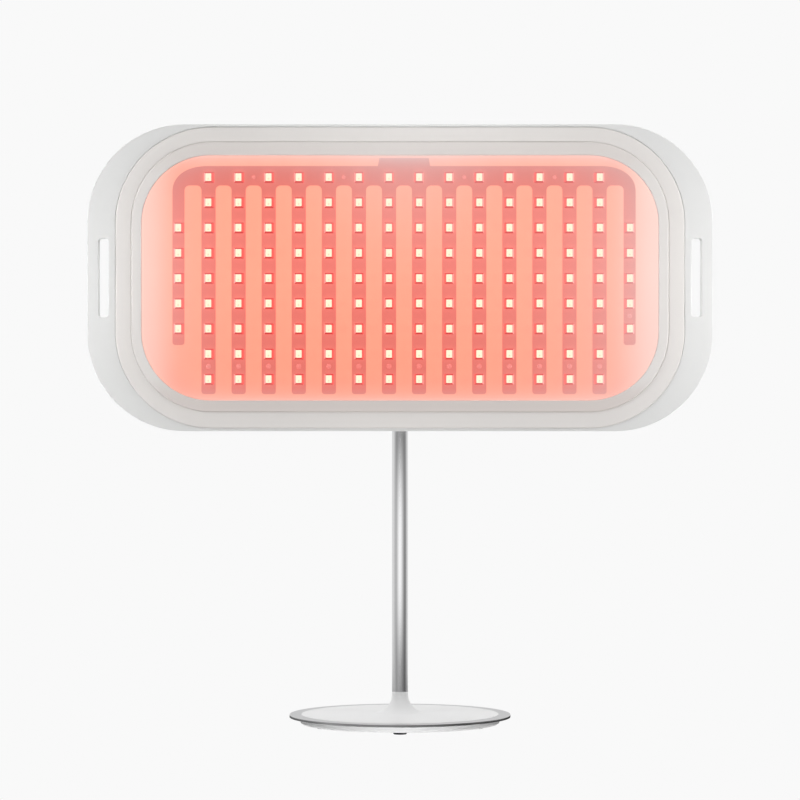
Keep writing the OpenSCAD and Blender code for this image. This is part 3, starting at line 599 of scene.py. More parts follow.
@dataclass(frozen=True)
class LitFace(Finish):
    """The phosphor face of each light, with a faint darker spot over its die."""

    colour: Colour
    glow: Colour
    spot: Colour
    lattice: Lattice
    centre_z: float
    drop: float = 1.15 * MM
    spot_size: Point = (0.2 * MM, 0.8 * MM)
    roughness: float = 0.4
    speckle_size: float = 0.003
    speckle: Point = (0.97, 1.0)

    def look(self, graph: Graph, place: Socket) -> dict[str, Feed]:
        """Draws the face's glow and its spot.

        Args:
            graph: The material's node tree.
            place: Coordinates in metres.

        Returns:
            The shader's inputs.
        """
        near = self.lattice.nearness(graph, place, self.centre_z - self.drop, self.spot_size)
        return {
            "Base Color": self.colour,
            "Roughness": self.roughness,
            "Emission Color": graph.blend(near, self.glow, self.spot),
            "Emission Strength": graph.span(graph.noise(place, self.speckle_size), NOISE_RANGE, self.speckle),
        }


@dataclass(frozen=True)
class Haze:
    """One soft patch of haze in the window, with its middle, its reach along x and z, and its strength, which
    sets both its haze and its painted glow.
    """

    middle: Point
    reach: Point
    strength: float
    power: float = 1.0

    def draw(self, graph: Graph, x: Socket, height: Socket) -> Socket:
        """Draws the patch.

        Args:
            graph: The material's node tree.
            x: Distance to the right of the panel's centre.
            height: Distance above it.

        Returns:
            The patch's share of haze.
        """
        along = graph.away(graph.minus(x, self.middle[0]), self.reach[0], self.power)
        upright = graph.away(graph.minus(height, self.middle[1]), self.reach[1], self.power)
        return graph.times(graph.hill(along, upright), self.strength)


@dataclass(frozen=True)
class ClearSheet(Finish):
    """Clear sheet with a faint milky haze, thicker toward its edges, whose brightness is painted light: the
    haze glows though it is no lamp.
    """

    glow: Colour
    hazes: tuple[Haze, ...]
    centre_z: float
    roughness: float = 0.35
    least: float = 0.02
    most: float = 0.9
    cloud_size: float = 0.03
    rougher: float = 0.1

    def look(self, graph: Graph, place: Socket) -> dict[str, Feed]:
        """Draws the sheet's haze and its painted glow.

        Args:
            graph: The material's node tree.
            place: Coordinates in metres.

        Returns:
            The shader's inputs.
        """
        x, _, z = graph.split(place)
        height = graph.minus(z, self.centre_z)
        total = graph.plus(self.least, *(haze.draw(graph, x, height) for haze in self.hazes))
        gloss = (self.roughness, self.roughness + self.rougher)
        # Painted glow: a black base with emission in its place, shown as far as the haze covers the sheet.
        return {
            "Base Color": BLACK,
            "Roughness": graph.span(graph.noise(place, self.cloud_size), NOISE_RANGE, gloss),
            "Emission Color": self.glow,
            "Emission Strength": 1.0,
            "Alpha": graph.math("MINIMUM", total, self.most) if self.hazes else total,
        }


@dataclass(frozen=True)
class Palette:
    """Every finish of the object, apart from those of the light box, the inner bezel and the window."""

    flange_white: Finish = Moulded("flange_white", linear(231, 231, 230), 0.42)
    bezel_white: Finish = Moulded("bezel_white", linear(234, 230, 227), 0.42)
    shell_white: Finish = Moulded("shell_white", linear(230, 229, 227), 0.46)
    pod_white: Finish = Moulded("pod_white", linear(233, 232, 230), 0.4)
    base_white: Finish = Moulded("base_white_gloss", linear(236, 236, 236), 0.32)
    cover_white: Finish = Moulded("cover_white_satin", linear(236, 236, 236), 0.4)
    head_grey: Finish = Moulded("head_grey_nylon", linear(196, 197, 198), 0.48)
    button_grey: Finish = Moulded("button_satin_grey", linear(205, 206, 207), 0.38)
    knob_dark: Finish = Moulded("knob_dark_grip", linear(66, 67, 69), 0.55, 0.08)
    foot_rubber: Finish = Moulded("foot_rubber_black", linear(34, 34, 35), 0.75, 0.1, 0.004, 0.0004, 0.00004)
    seal_grey: Finish = Moulded("seal_foam_grey", linear(190, 178, 174), 0.8, 0.08, 0.003, 0.0004, 0.00005)
    bush_nylon: Finish = Moulded("bush_nylon_natural", linear(232, 228, 214), 0.5)
    chip_black: Finish = Moulded("chip_epoxy_black", linear(38, 38, 40), 0.5, 0.1)
    connector_ivory: Finish = Moulded("connector_ivory", linear(226, 218, 196), 0.5)
    ribbon_amber: Finish = Moulded("ribbon_amber_film", linear(196, 128, 44), 0.35, 0.1)
    status_green: Finish = Moulded("status_green_lens", linear(150, 222, 160), 0.25)
    pole_steel: Finish = Metal(
        "pole_satin_steel", linear(236, 236, 237), 0.12, Brush.UPRIGHT, 0.015, relief=0.000001
    )
    ring_steel: Finish = Metal("plate_satin_steel", linear(206, 206, 207), 0.32, scratch=0.03)
    edge_steel: Finish = Metal("plate_rolled_edge", linear(210, 210, 211), 0.07, scratch=0.02)
    screw_steel: Finish = Metal("screw_zinc_steel", linear(186, 188, 190), 0.34)
    socket_steel: Finish = Metal("socket_plated_steel", linear(205, 206, 208), 0.26)
    washer_brass: Finish = Metal("washer_phosphor_bronze", linear(206, 164, 92), 0.32)
    ballast_iron: Finish = Metal("ballast_rolled_iron", linear(92, 92, 94), 0.55, scratch=0.1)
    board_green: Finish = Board("board_green_coat", linear(28, 96, 62), linear(54, 132, 84))


def rounded(points: Sequence[Corner], closed: bool, steps: int = 6) -> list[Point]:
    """Rounds the corners of a chain of straight lines.

    Args:
        points: Corners, each as two coordinates and the radius of its rounding.
        closed: Whether the chain's last corner joins its first.
        steps: Straight steps along each rounding.

    Returns:
        The points of the rounded chain.
    """
    made: list[Point] = []
    count = len(points)
    for index, (a, b, radius) in enumerate(points):
        at_end = not closed and index in (0, count - 1)
        if radius <= 0 or at_end:
            made.append((a, b))
            continue
        corner = Vector((a, b))
        neighbours = (points[index - 1], points[(index + 1) % count])
        before, after = (Vector(neighbour[:2]) - corner for neighbour in neighbours)
        half = before.angle(after) / 2
        back, onward = before.normalized(), after.normalized()
        reach = radius / math.tan(half)
        # Two roundings share the line between them by their radii.
        for arm, neighbour in zip((before, after), neighbours):
            reach = min(reach, ARM_SHARE * arm.length * radius / (radius + neighbour[2]))
        radius = reach * math.tan(half)
        middle = corner + (back + onward).normalized() * (radius / math.sin(half))
        arm = corner + back * reach - middle
        turn = math.pi - 2 * half
        side = 1 if back.x * onward.y - back.y * onward.x < 0 else -1
        for step in range(steps + 1):
            spin = Matrix.Rotation(side * turn * step / steps, 2)
            made.append(tuple(middle + spin @ arm))
    return made


@dataclass(frozen=True)
class Outline:
    """A rectangle with round corners, in metres."""

    width: float
    height: float
    radius: float
    centre: Point = (0.0, 0.0)

    def grown(self, margin: float) -> "Outline":
        """The outline grown by a margin on every side, or shrunk by one below zero."""
        radius = max(self.radius + margin, SMALLEST_RADIUS)
        return Outline(self.width + 2 * margin, self.height + 2 * margin, radius, self.centre)

    def points(self, steps: int = CORNER_STEPS) -> list[Point]:
        """Lists points around the outline.

        Args:
            steps: Straight steps along each corner.

        Returns:
            The points, counterclockwise.
        """
        half_x, half_y = self.width / 2, self.height / 2
        corners = [(half_x, -half_y), (half_x, half_y), (-half_x, half_y), (-half_x, -half_y)]
        chain = [(self.centre[0] + x, self.centre[1] + y, self.radius) for x, y in corners]
        return rounded(chain, True, steps)


def circle(radius: float, steps: int) -> list[Point]:
    """Points around a circle, counterclockwise."""
    turns = [2 * math.pi * step / steps for step in range(steps)]
    return [(radius * math.cos(turn), radius * math.sin(turn)) for turn in turns]


class Solid:
    """A closed mesh while it is being made, in metres in the row frame."""

    def __init__(self) -> None:
        """Starts an empty mesh."""
        self.bm = bmesh.new()

    def ring(self, points: Sequence[Vector]) -> Ring:
        """Adds a ring of points and returns their vertices."""
        return [self.bm.verts.new(point) for point in points]

    def skin(self, rings: Sequence[Ring], closed: bool = False) -> None:
        """Covers the way from each ring to the next with faces. A ring of one point becomes a tip.

        Args:
            rings: The rings in order.
            closed: Whether the last ring joins the first.
        """
        pairs = list(zip(rings, rings[1:]))
        if closed:
            pairs.append((rings[-1], rings[0]))
        for near, far in pairs:
            count = max(len(near), len(far))
            for i in range(count):
                j = (i + 1) % count
                corners = [near[i % len(near)], near[j % len(near)], far[j % len(far)], far[i % len(far)]]
                self.bm.faces.new(list(dict.fromkeys(corners)))

    def shut(self, rings: Sequence[Ring]) -> None:
        """Covers the way along the rings and closes the first and the last one with a flat face each.

        Args:
            rings: The rings in order.
        """
        self.skin(rings)
        for ring in (rings[0], rings[-1]):
            self.bm.faces.new(ring)

    def fill(self, rings: Sequence[Ring]) -> None:
        """Fills the flat face between an outline and the holes in it.

        Args:
            rings: The outline and the holes, in any order.
        """
        edges = []
        for ring in rings:
            for near, far in zip(ring, ring[1:] + ring[:1]):
                edges.append(self.bm.edges.get((near, far)) or self.bm.edges.new((near, far)))
        bmesh.ops.triangle_fill(self.bm, use_beauty=True, edges=edges)

    def lathe(self, profile: Sequence[Point], place: Matrix, steps: int, closed: bool = False) -> None:
        """Turns a profile about an axis.

        Args:
            profile: Radius and height of each point.
            place: Where the axis stands; its own Z is the axis.
            steps: Steps around the axis.
            closed: Whether the profile's last point joins its first.
        """
        rings = []
        for radius, height in profile:
            flat = [(0.0, 0.0)] if radius < TIP_RADIUS else circle(radius, steps)
            rings.append(self.ring([place @ Vector((x, y, height)) for x, y in flat]))
        self.skin(rings, closed)

    def to_object(self, name: str) -> bpy.types.Object:
        """Ends the making and puts the object into the scene.

        Args:
            name: The piece's name.

        Returns:
            The new object.
        """
        bmesh.ops.recalc_face_normals(self.bm, faces=self.bm.faces)
        mesh = bpy.data.meshes.new(name)
        self.bm.to_mesh(mesh)
        self.bm.free()
        mesh.polygons.foreach_set("use_smooth", [True] * len(mesh.polygons))
        mesh.set_sharp_from_angle(angle=SHARP_ANGLE)
        made = bpy.data.objects.new(name, mesh)
        bpy.context.scene.collection.objects.link(made)
        return made


@dataclass(frozen=True)
class Slab:
    """Height of the panel's centre, and points on the panel."""

    centre_z: float

    def point(self, u: float, v: float, w: float) -> Vector:
        """A point of the panel, sideways and upward from its centre and at a depth."""
        return Vector((u, -w, self.centre_z + v))

    def ring(self, solid: Solid, points: Sequence[Point], w: float) -> Ring:
        """Adds a ring of points at one depth to a mesh."""
        return solid.ring([self.point(u, v, w) for u, v in points])

    def rings(
        self, solid: Solid, outline: Outline, profile: Sequence[Point], steps: int = CORNER_STEPS
    ) -> list[Ring]:
        """Adds a ring to a mesh for each growth and depth of a profile that runs around an outline."""
        return [self.ring(solid, outline.grown(grow).points(steps), w) for grow, w in profile]


def depths(node: str) -> Point:
    """Depths of a node's back and front."""
    low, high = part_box(node)
    return -high.y, -low.y


def outline_of(node: str, radius: float) -> Outline:
    """A panel node's outline, with corners of a radius."""
    low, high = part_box(node)
    return Outline(high.x - low.x, high.z - low.z, radius)


@dataclass
class Assembly:
    """A group of pieces that ride on one body and are built and dressed together."""

    frame: dict
    body: str
    palette: Palette

    WELD_REACH = 0.002 * MM
    FLAT_ANGLE = math.radians(0.5)
    BEVEL_ANGLE = math.radians(40)
    BEVEL_STEPS = 3

    def build(self) -> None:
        """Builds and dresses the group's pieces. Each group has its own."""
        raise NotImplementedError

    def add(self, name: str, solid: Solid, finishes: Sequence[Finish], slot: str, node: str) -> None:
        """Turns a finished mesh into a piece that stands for a CAD node.

        Args:
            name: The piece's name.
            solid: The finished mesh.
            finishes: Its finishes, by the faces' index.
            slot: The record's material slot; not used.
            node: The node that it replaces.
        """
        piece = solid.to_object(name)
        for finish in finishes:
            piece.data.materials.append(finish.material())
        normals = piece.modifiers.new("normals", "WEIGHTED_NORMAL")
        normals.keep_sharp = True
        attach(piece, self.body)
        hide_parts(node)
        LOG.info("built %s, %d faces, on %s", name, len(piece.data.polygons), self.body)

    def dress(self, node: str, finish: Finish, edge: float = 0.0) -> None:
        """Gives a CAD node its finish and, where wanted, softly rounded edges.

        Args:
            node: The node's name.
            finish: Its finish.
            edge: Radius of its rounded edges, or 0 to leave them.
        """
        piece = self.frame["nodes"][node]
        if not piece.material_slots:
            piece.data.materials.append(None)
        for slot in piece.material_slots:
            slot.material = finish.material()
        if edge > 0:
            weld = piece.modifiers.new("weld", "WELD")
            weld.merge_threshold = self.WELD_REACH
            flat = piece.modifiers.new("flat", "DECIMATE")
            flat.decimate_type = "DISSOLVE"
            flat.angle_limit = self.FLAT_ANGLE
            bevel = piece.modifiers.new("bevel", "BEVEL")
            bevel.width = edge
            bevel.segments = self.BEVEL_STEPS
            bevel.limit_method = "ANGLE"
            bevel.angle_limit = self.BEVEL_ANGLE
            piece.modifiers.new("normals", "WEIGHTED_NORMAL")
        LOG.info("dressed %s in %s", node, finish.name)


@dataclass
class LightBox(Assembly):
    """Reflector, flex circuit, lights and pins behind the window."""

    slab: Slab
    opening: Outline
    lattice: Lattice = Lattice()
    tray_band: float = 8 * MM
    tray_round: float = 0.4 * MM
    tray_lip_round: float = 0.3 * MM
    cove_radius: float = 1.5 * MM
    cove_run: float = 2 * MM
    finger_w: float = 8.75 * MM
    side_finger_w: float = 7.4 * MM
    bus_above: float = 6.9 * MM
    bus_below: float = 5.1 * MM
    bus_reach: Point = (22 * MM, 16 * MM)
    bus_bulge: float = 0.9
    bus_steps: int = 16
    finger_end: float = 9.4 * MM
    side_finger_end: float = 10.2 * MM
    finger_radius: float = 1.9 * MM
    gap_radius: float = 3.1 * MM
    tab_w: float = 30.5 * MM
    tab_h: float = 5 * MM
    tab_flare: float = 0.9 * MM
    tab_radius: float = 0.8 * MM
    tab_foot_radius: float = 0.6 * MM
    comb_steps: int = 8
    face_w: float = 3.65 * MM
    face_h: float = 4.75 * MM
    face_radius: float = 0.35 * MM
    face_lift: float = -0.1 * MM
    face_gap: float = 0.02 * MM
    face_round: float = 0.18 * MM
    face_run: float = 0.6 * MM
    side_margin: float = 1.0 * MM
    lean_margin: float = 0.75 * MM
    top_margin: float = 0.85 * MM
    foot_margin: float = 1.05 * MM
    foot_radius: float = 0.6 * MM
    skirt_h: float = 0.35 * MM
    skirt_draft: float = 0.06 * MM
    rim_w: float = 0.06 * MM
    rim_round: float = 0.06 * MM
    light_steps: int = 3
    pin_radius: float = 1.6 * MM
    bus_pin_radius: float = 1.2 * MM
    bus_pin_columns: tuple[float, ...] = (2.5, 5.5, 9.5, 12.5)
    pin_shank: float = 0.7 * MM
    pin_steps: int = 20
    dome_steps: int = 6

    def build(self) -> None:
        """Builds and dresses the light box's pieces."""
        self.build_reflector()
        self.build_circuit()
        self.build_housings()
        self.build_faces()
        self.build_pins()

    def build_reflector(self) -> None:
        """Builds the pale tray that carries the circuit and throws its light forward."""
        back, front = depths("reflector_tray")
        floor = depths("flex_circuit")[0]
        sheet = outline_of("reflector_tray", self.opening.radius)
        lip = (sheet.width - self.opening.width) / 2
        outer = Outline(sheet.width, sheet.height, self.opening.radius + lip)
        chain = [
            (-self.tray_band, back, 0.0), (0.0, back, self.tray_round), (0.0, front, self.tray_lip_round),
            (-lip, front, self.tray_round), (-lip, floor, self.cove_radius),
            (-lip - self.cove_run, floor, 0.0), (-lip - self.tray_band, floor, 0.0),
        ]
        solid = Solid()
        solid.shut(self.slab.rings(solid, outer, rounded(chain, False)))
        # The tray's glow is painted light, with painted pools around the lights and painted light at its side
        # edges.
        finish = GlowPaintedSheet(
            "reflector_painted_glow", (0.35, 0.1, 0.06), (0.95, 0.298, 0.19), (1.0, 0.318, 0.205),
            self.lattice, self.slab.centre_z, (4 * MM, 11 * MM), (1.0, 0.56, 0.46),
        )
        self.add("reflector", solid, [finish], "reflector_lit", "reflector_tray")

    def bus_corner(self, edge: float, top: float, side: int) -> list[Corner]:
        """Lists the points of the wide rounded corner of the circuit's bus.

        Args:
            edge: Sideways place of the circuit's edge.
            top: Height of the bus's upper edge.
            side: -1 for the left corner, 1 for the right one.

        Returns:
            The points from the edge up to the top.
        """
        reach_x, reach_z = self.bus_reach
        made = []
        for step in range(self.bus_steps + 1):
            turn = math.pi / 2 * step / self.bus_steps
            along = reach_x * (1 - math.cos(turn) ** self.bus_bulge)
            down = reach_z * (1 - math.sin(turn) ** self.bus_bulge)
            made.append((edge - side * along, top - down, 0.0))
        return made

    def comb(self) -> list[Point]:
        """Draws the comb-shaped circuit, with its tab and fingers.

        Returns:
            The points of its outline.
        """
        lattice = self.lattice
        top = lattice.v(0) + self.bus_above
        gap_top = lattice.v(0) - self.bus_below
        left = lattice.x(0) - self.side_finger_w / 2
        right = lattice.x(lattice.columns - 1) + self.side_finger_w / 2
        tab_left, tab_right = lattice.shift - self.tab_w / 2, lattice.shift + self.tab_w / 2
        chain = [
            *self.bus_corner(right, top, 1),
            (tab_right + self.tab_flare, top, self.tab_foot_radius),
            (tab_right, top + self.tab_h, self.tab_radius),
            (tab_left, top + self.tab_h, self.tab_radius),
            (tab_left - self.tab_flare, top, self.tab_foot_radius),
            *reversed(self.bus_corner(left, top, -1)),
        ]
        for column in range(lattice.columns):
            side = lattice.is_side(column)
            half = (self.side_finger_w if side else self.finger_w) / 2
            last = lattice.rows - 1 - (lattice.side_skip if side else 0)
            foot = lattice.v(last) - (self.side_finger_end if side else self.finger_end)
            middle = lattice.x(column)
            if column > 0:
                chain.append((middle - half, gap_top, self.gap_radius))
            chain.append((middle - half, foot, self.finger_radius))
            chain.append((middle + half, foot, self.finger_radius))
            if column < lattice.columns - 1:
                chain.append((middle + half, gap_top, self.gap_radius))
        return rounded(chain, True, self.comb_steps)

    def build_circuit(self) -> None:
        """Builds the flex circuit with its bus, tab and fingers."""
        solid = Solid()
        rings = [self.slab.ring(solid, self.comb(), w) for w in depths("flex_circuit")]
        solid.skin(rings)
        for ring in rings:
            solid.fill([ring])
        # The film's glow is painted light around each light, with painted shade near its top.
        finish = GlowPaintedSheet(
            "flex_film_painted_glow", (0.25, 0.04, 0.03), (0.69, 0.134, 0.102), (0.78, 0.163, 0.126),
            self.lattice, self.slab.centre_z, (3.0 * MM, 7.0 * MM), painted_top_shade=0.77,
        )
        self.add("flex_circuit_comb", solid, [finish], "flex_lit", "flex_circuit")

    def face_outline(self, u: float, v: float) -> Outline:
        """Outline of the pocket for a light's face, around a place on the panel."""
        return Outline(self.face_w, self.face_h, self.face_radius, (u, v + self.face_lift))

    def build_housings(self) -> None:
        """Builds the red housings of the lights, whose walls slope toward the panel's middle."""
        back, front = depths("led_housings")
        pocket = depths("led_emitters")[0]
        sites = self.lattice.sites()
        reach = max(u for u, _ in sites)
        solid = Solid()
        for u, v in sites:
            lean = u / reach
            west = self.side_margin + self.lean_margin * max(lean, 0.0)
            east = self.side_margin + self.lean_margin * max(-lean, 0.0)
            face = self.face_outline(u, v)
            foot = Outline(
                face.width + west + east, face.height + self.top_margin + self.foot_margin, self.foot_radius,
                (u + (east - west) / 2, face.centre[1] + (self.top_margin - self.foot_margin) / 2),
            )
            levels = [
                (foot, back),
                (foot.grown(-self.skirt_draft), back + self.skirt_h),
                (face.grown(self.rim_w + self.rim_round), front - self.rim_round),
                (face.grown(self.rim_w), front),
                (face, front),
                (face, pocket),
            ]
            steps = self.light_steps
            solid.shut([self.slab.ring(solid, outline.points(steps), w) for outline, w in levels])
        self.paint_housings(solid)
        half = self.opening.width / 2
        # Painted glow: walls facing the panel's middle get a deep red painted light, outward walls a paler
        # one.
        red = (0.52, 0.002, 0.002)
        finishes = [
            GlowPaintedBody("led_red_wall_painted_glow", (0.2, 0.01, 0.008), red, red, half),
            GlowPaintedBody("led_inner_wall_painted_glow", (0.4, 0.03, 0.025), (0.9, 0.075, 0.06), (0.95, 0.05, 0.04), half),
            GlowPaintedBody("led_outer_wall_painted_glow", (0.5, 0.15, 0.13), (0.72, 0.15, 0.13), (0.74, 0.34, 0.32), half),
        ]
        self.add("led_housing_array", solid, finishes, "led_red", "led_housings")

    def paint_housings(self, solid: Solid) -> None:
        """Gives the housings' walls their painted glow by the way that they face: front, inward and outward
        walls glow differently.

        Args:
            solid: The mesh of all the housings.
        """
        bmesh.ops.recalc_face_normals(solid.bm, faces=solid.bm.faces)
        for face in solid.bm.faces:
            sideways = abs(face.normal.x) > abs(face.normal.z)
            inward = face.normal.x * face.calc_center_median().x < 0
            face.material_index = (1 if inward else 2) if sideways else 0

    def build_faces(self) -> None:
        """Builds the bright faces of the lights."""
        back, front = depths("led_emitters")
        chain = [(0.0, back, 0.0), (0.0, front, self.face_round), (-self.face_run, front, 0.0)]
        profile = rounded(chain, False, self.light_steps)
        solid = Solid()
        for u, v in self.lattice.sites():
            face = self.face_outline(u, v).grown(-self.face_gap)
            solid.shut(self.slab.rings(solid, face, profile, self.light_steps))
        finish = LitFace(
            "led_face_phosphor", (0.2, 0.17, 0.08), (1.0, 0.84, 0.63), (0.78, 0.6, 0.38),
            self.lattice, self.slab.centre_z,
        )
        self.add("led_face_array", solid, [finish], "led_face", "led_emitters")

    def build_pins(self) -> None:
        """Builds the domed pins that hold the circuit down."""
        lattice = self.lattice
        back, front = depths("locating_pins")
        circuit = depths("flex_circuit")[1]
        last = lattice.columns - 1
        # The pins stand halfway between the last two lights of their column, and some on the bus.
        row = lattice.rows - 1.5
        sites = [(lattice.x(column), lattice.v(row), self.pin_radius) for column in range(1, last)]
        sites.append((lattice.x(last), lattice.v(row - lattice.side_skip), self.pin_radius))
        sites += [(lattice.x(column), lattice.v(0), self.bus_pin_radius) for column in self.bus_pin_columns]
        shank, rise = self.pin_shank, front - circuit
        turns = [math.pi / 2 * step / self.dome_steps for step in range(1, self.dome_steps)]
        solid = Solid()
        for u, v, radius in sites:
            stem = [(0.0, back), (shank, back), (shank, circuit), (radius, circuit)]
            dome = [(radius * math.cos(turn), circuit + rise * math.sin(turn)) for turn in turns]
            place = Matrix.Translation(self.slab.point(u, v, 0.0)) @ Matrix.Rotation(math.pi / 2, 4, "X")
            solid.lathe([*stem, *dome, (0.0, front)], place, self.pin_steps)
        half = self.opening.width / 2
        # The pins glow with painted light from the lights around them.
        finish = GlowPaintedBody("pin_painted_glow", (0.42, 0.12, 0.1), (0.6, 0.11, 0.09), (0.6, 0.15, 0.13), half)
        self.add("locating_pin_array", solid, [finish], "pin_pink", "locating_pins")


@dataclass
class Front(Assembly):
    """Strap flange, bezels and window."""

    slab: Slab
    opening: Outline
    flange_radius: float = 60 * MM
    flange_rim: float = 0.25 * MM
    cavity_inset: float = 7.6 * MM
    seat_inset: float = 0.2 * MM
    slot_w: float = 5.6 * MM
    slot_h: float = 48.4 * MM
    slot_radius: float = 1.8 * MM
    slot_edge: float = 6.5 * MM
    slot_lead: float = 0.8 * MM
    slot_rim: float = 0.25 * MM
    slot_rim_steps: int = 4
    slot_steps: int = 8
    groove_side: float = 0.5 * MM
    groove_top: float = 0.4 * MM
    groove_foot: float = 0.02 * MM
    groove_depth: float = 0.9 * MM
    groove_draft: float = 0.02 * MM
    outer_radius: float = 58.9 * MM
    tier_side: float = 9.8 * MM
    tier_top: float = 9.1 * MM
    tier_foot: float = 10.0 * MM
    tier_edge: float = 0.7 * MM
    tier_gap: float = 0.02 * MM
    tier_run: float = 1.5 * MM
    tier_steps: int = 8
    keeper_w: float = 1.5 * MM
    keeper_inset: float = 1.0 * MM
    keeper_round: float = 0.2 * MM
    lip_t: float = 1.6 * MM
    lip_roll: float = 0.3 * MM
    lip_round: float = 0.15 * MM
    sheet_lap: float = 4.1 * MM
    sheet_round: float = 0.2 * MM
    sheet_band: float = 9 * MM
    window_gap: float = 0.1 * MM
    window_foot: float = 0.1 * MM
    window_round: float = 0.4 * MM
    window_run: float = 0.8 * MM
    window_band: float = 5 * MM
    window_steps: int = 4
    hazy_depth: float = 0.45 * MM
    haze_painted_glow: Colour = (0.8, 0.795, 0.785)
    clear_roughness: float = 0.2

    def build(self) -> None:
        """Builds and dresses the front's pieces."""
        self.build_flange()
        self.build_outer_bezel()
        self.build_inner_bezel()
        self.build_window()
        self.dress("window_seal", self.palette.seal_grey)

    def slot_rings(self, solid: Solid, side: int) -> list[Ring]:
        """Adds the wall of one strap slot.

        Args:
            solid: The flange's mesh.
            side: -1 for the left slot, 1 for the right one.

        Returns:
            The wall's rings from back to front.
        """
        back, front = depths("strap_flange")
        throat = outline_of("strap_flange", 0.0).width / 2 - self.slot_edge - self.slot_lead
        inner = throat - self.slot_w
        rim = self.slot_rim
        chain = [(2 * rim, back, 0.0), (0.0, back, rim), (0.0, front, rim), (2 * rim, front, 0.0)]
        rings = []
        for grow, w in rounded(chain, False, self.slot_rim_steps):
            outer = throat + self.slot_lead * (w - back) / (front - back)
            middle = side * (inner + outer) / 2
            outline = Outline(outer - inner, self.slot_h, self.slot_radius, (middle, 0.0)).grown(grow)
            rings.append(self.slab.ring(solid, outline.points(self.slot_steps), w))
        return rings

    def inner_tier(self) -> Outline:
        """Draws the inner bezel's raised ring.

        Returns:
            Its outline.
        """
        outer = outline_of("outer_bezel", self.outer_radius)
        height = outer.height - self.tier_top - self.tier_foot
        lift = (self.tier_foot - self.tier_top) / 2
        return Outline(outer.width - 2 * self.tier_side, height, outer.radius - self.tier_side, (0.0, lift))

    def groove_rings(self, solid: Solid, raised: Outline, top: float, front: float) -> list[Ring]:
        """Adds the outer wall of the narrow groove around a raised ring, widest at the sides.

        Args:
            solid: The mesh.
            raised: Outline of the ring.
            top: Width of the groove above the ring.
            front: Depth of the groove's mouth.

        Returns:
            The rings of the mouth and the floor.
        """
        width = raised.width + 2 * self.groove_side
        height = raised.height + top + self.groove_foot
        lift = raised.centre[1] + (top - self.groove_foot) / 2
        mouth = Outline(width, height, raised.radius + self.groove_side, (0.0, lift))
        return self.slab.rings(solid, mouth, [(0.0, front), (-self.groove_draft, front - self.groove_depth)])

    def build_flange(self) -> None:
        """Builds the flange with its two strap slots and the groove around the outer bezel."""
        back, front = depths("strap_flange")
        flange = outline_of("strap_flange", self.flange_radius)
        bezel = outline_of("outer_bezel", self.outer_radius)
        floor = front - self.groove_depth
        rim, inset = self.flange_rim, self.seat_inset
        edge = [(-2 * rim, back, 0.0), (0.0, back, rim), (0.0, front, rim), (-2 * rim, front, 0.0)]
        solid = Solid()
        outer = self.slab.rings(solid, flange, rounded(edge, False))
        mouth = self.groove_rings(solid, bezel, self.groove_top, front)
        seat = self.slab.rings(solid, bezel, [(-inset, floor), (-inset, front)])
        core = self.slab.rings(solid, bezel.grown(-self.cavity_inset), [(0.0, front), (0.0, back)])
        slots = [self.slot_rings(solid, side) for side in (-1, 1)]
        for rings in (outer, [*mouth, *seat, *core], *slots):
            solid.skin(rings)
        solid.fill([outer[-1], mouth[0], *(rings[-1] for rings in slots)])
        solid.fill([outer[0], core[-1], *(rings[0] for rings in slots)])
        self.add("strap_flange_shell", solid, [self.palette.flange_white], "panel_white", "strap_flange")

    def build_outer_bezel(self) -> None:
        """Builds the outer bezel, with the groove that the inner one rises from."""
        back, front = depths("outer_bezel")
        bezel = outline_of("outer_bezel", self.outer_radius)
        body = self.inner_tier()
        floor = front - self.groove_depth
        edge, gap = self.tier_edge, self.tier_gap
        outside = [(0.0, back, 0.0), (0.0, front, edge), (-2 * edge, front, 0.0)]
        solid = Solid()
        rings = [
            *self.slab.rings(solid, bezel, rounded(outside, False, self.tier_steps)),
            *self.groove_rings(solid, body, self.groove_top / 2, front),
            *self.slab.rings(solid, body, [(gap, floor), (gap, back)]),
        ]
        solid.skin(rings, True)
        self.add("outer_bezel_ring", solid, [self.palette.bezel_white], "panel_white", "outer_bezel")

    def build_inner_bezel(self) -> None:
        """Builds the inner bezel, whose lip rolls down to the window."""
        back, front = depths("inner_bezel")
        ledge = depths("strap_flange")[1]
        lip_back = front - self.lip_t
        keeper, land = self.keeper_w, self.sheet_lap
        outside = [
            (-self.keeper_inset, back, 0.0), (keeper, back, self.keeper_round),
            (keeper, ledge, self.keeper_round), (0.0, ledge, 0.0),
            (0.0, front, self.tier_edge), (-self.tier_run, front, 0.0),
        ]
        inside = [
            (2 * self.lip_roll, front, 0.0), (0.0, front, self.lip_roll), (0.0, lip_back, self.lip_round),
            (land, lip_back, 0.0), (land, back, 0.0),
        ]
        solid = Solid()
        rings = []
        for outline, chain in ((self.inner_tier(), outside), (self.opening, inside)):
            rings += self.slab.rings(solid, outline, rounded(chain, False, self.tier_steps))
        solid.skin(rings, True)
        # The inner bezel's finish has painted shade and a painted red spill next to the window.
        finish = PaintedShadeRim("inner_bezel_white_painted_shade", linear(232, 228, 225), 0.42, centre_z=self.slab.centre_z)
        self.add("inner_bezel_ring", solid, [finish], "panel_white", "inner_bezel")

